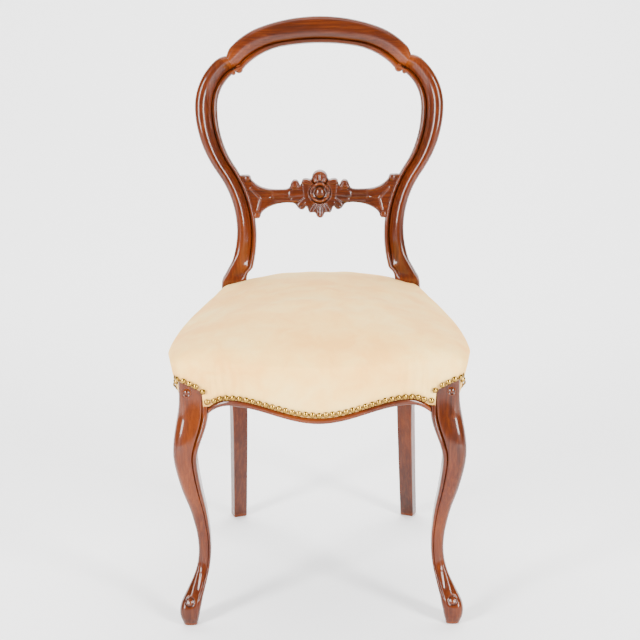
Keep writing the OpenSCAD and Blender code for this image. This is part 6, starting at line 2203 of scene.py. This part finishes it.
@dataclass
class Studio(PieceMaker):
    """The pale floor and backdrop, the soft lights and the camera at the photo's angle."""

    camera_x: float = 34
    camera_y: float = -2899.3
    camera_h: float = 1258.4
    pitch: float = 15.85
    roll: float = 0.62
    lens: float = 104.06
    floor_w: float = 14000
    wall_y: float = 3200
    wall_h: float = 6000
    floor_h: float = -1.0
    sweep_r: float = 900
    world_level: float = 0.17

    # Soft lights: name, place and aim in metres, width and height in metres, watts
    LIGHTS = [
        ("window_left", (-2.1, -2.4, 1.45), (0, 0, 0.55), (0.7, 1.9), 236),
        ("window_right", (2.1, -2.4, 1.45), (0, 0, 0.55), (0.7, 1.9), 236),
        ("overhead", (0, -0.7, 3.1), (0, 0.1, 0.5), (2.2, 1.4), 40),
        ("rear_fill", (0, 2.4, 2.3), (0, 0, 0.55), (2.4, 1.0), 22),
        ("backdrop_wash", (0, 1.9, 3.6), (0, 2.6, 0), (5.0, 1.6), 260),
    ]

    def backdrop(self) -> None:
        """A pale floor that sweeps up into a wall behind the chair."""
        half, bend = self.floor_w / 2, self.sweep_r
        path = [(-half, self.floor_h)]
        path += [(self.wall_y - bend + bend * math.sin(a), bend * (1 - math.cos(a)) + self.floor_h)
                 for a in np.linspace(0, math.pi / 2, 16)]
        path += [(self.wall_y, self.wall_h)]
        points = np.asarray([(x, y, z) for y, z in path for x in (-half, half)])
        faces = [(2 * i, 2 * i + 1, 2 * i + 3, 2 * i + 2) for i in range(len(path) - 1)]
        mesh = bpy.data.meshes.new("studio_sweep")
        mesh.from_pydata((points * MM).tolist(), [], faces)
        mesh.polygons.foreach_set("use_smooth", [True] * len(faces))
        piece = in_scene("studio_sweep", mesh)
        mesh.materials.append(StudioPaper().material())
        piece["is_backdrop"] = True

    def softbox(self, name: str, place: Spot, aim: Spot, size: Spot,
                watts: float) -> None:
        """A rectangular soft light.

        Args:
            name: the light's name.
            place: where it stands, in metres.
            aim: where it points, in metres.
            size: width and height in metres.
            watts: its power.
        """
        light = bpy.data.lights.new(name, "AREA")
        light.shape, light.size, light.size_y, light.energy = "RECTANGLE", size[0], size[1], watts
        lamp = in_scene(name, light)
        lamp.location = place
        lamp.rotation_euler = (Vector(aim) - Vector(place)).to_track_quat("-Z", "Y").to_euler()

    def camera(self) -> None:
        """The camera, where the fitted pinhole camera of the photo stands."""
        lens = bpy.data.cameras.new("photo_camera")
        lens.lens, lens.sensor_width, lens.dof.use_dof = self.lens, 36, False
        eye = in_scene("photo_camera", lens)
        eye.location = (self.camera_x * MM, self.camera_y * MM, self.camera_h * MM)
        yaw = Matrix.Rotation(math.atan2(self.camera_x, -self.camera_y), 3, "Z")
        pitch = Matrix.Rotation(math.radians(90 - self.pitch), 3, "X")
        eye.rotation_euler = (yaw @ pitch @ Matrix.Rotation(math.radians(-self.roll), 3, "Z")).to_euler()
        bpy.context.scene.camera = eye

    def build(self) -> None:
        """Set up the stage."""
        self.backdrop()
        for light in self.LIGHTS:
            self.softbox(*light)
        world = bpy.data.worlds.new("studio_air")
        world.use_nodes = True
        back = world.node_tree.nodes["Background"]
        back.inputs["Color"].default_value = linear("#FBFBFC")
        back.inputs["Strength"].default_value = self.world_level
        bpy.context.scene.world = world
        self.camera()


def main() -> None:
    """Build the chair, its stage and its camera."""
    logging.basicConfig(level=logging.INFO, format="%(name)s: %(message)s")
    back = BalloonBack()
    back.build()
    CarvedCrossRail(back).build()
    FrontLegs().build()
    SeatFrame().build()
    form = SeatForm()
    SprungBase(form).build()
    Upholstery(form).build()
    NailRows().build()
    Studio().build()
    {"cad": plain(CAD_BOX), "scene": plain(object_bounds())}


def plain(box: Sequence[Iterable[float]]) -> list[list[float]]:
    """A box as plain lists of numbers."""
    return [[float(v) for v in corner] for corner in box]


if __name__ == "__main__":
    main()
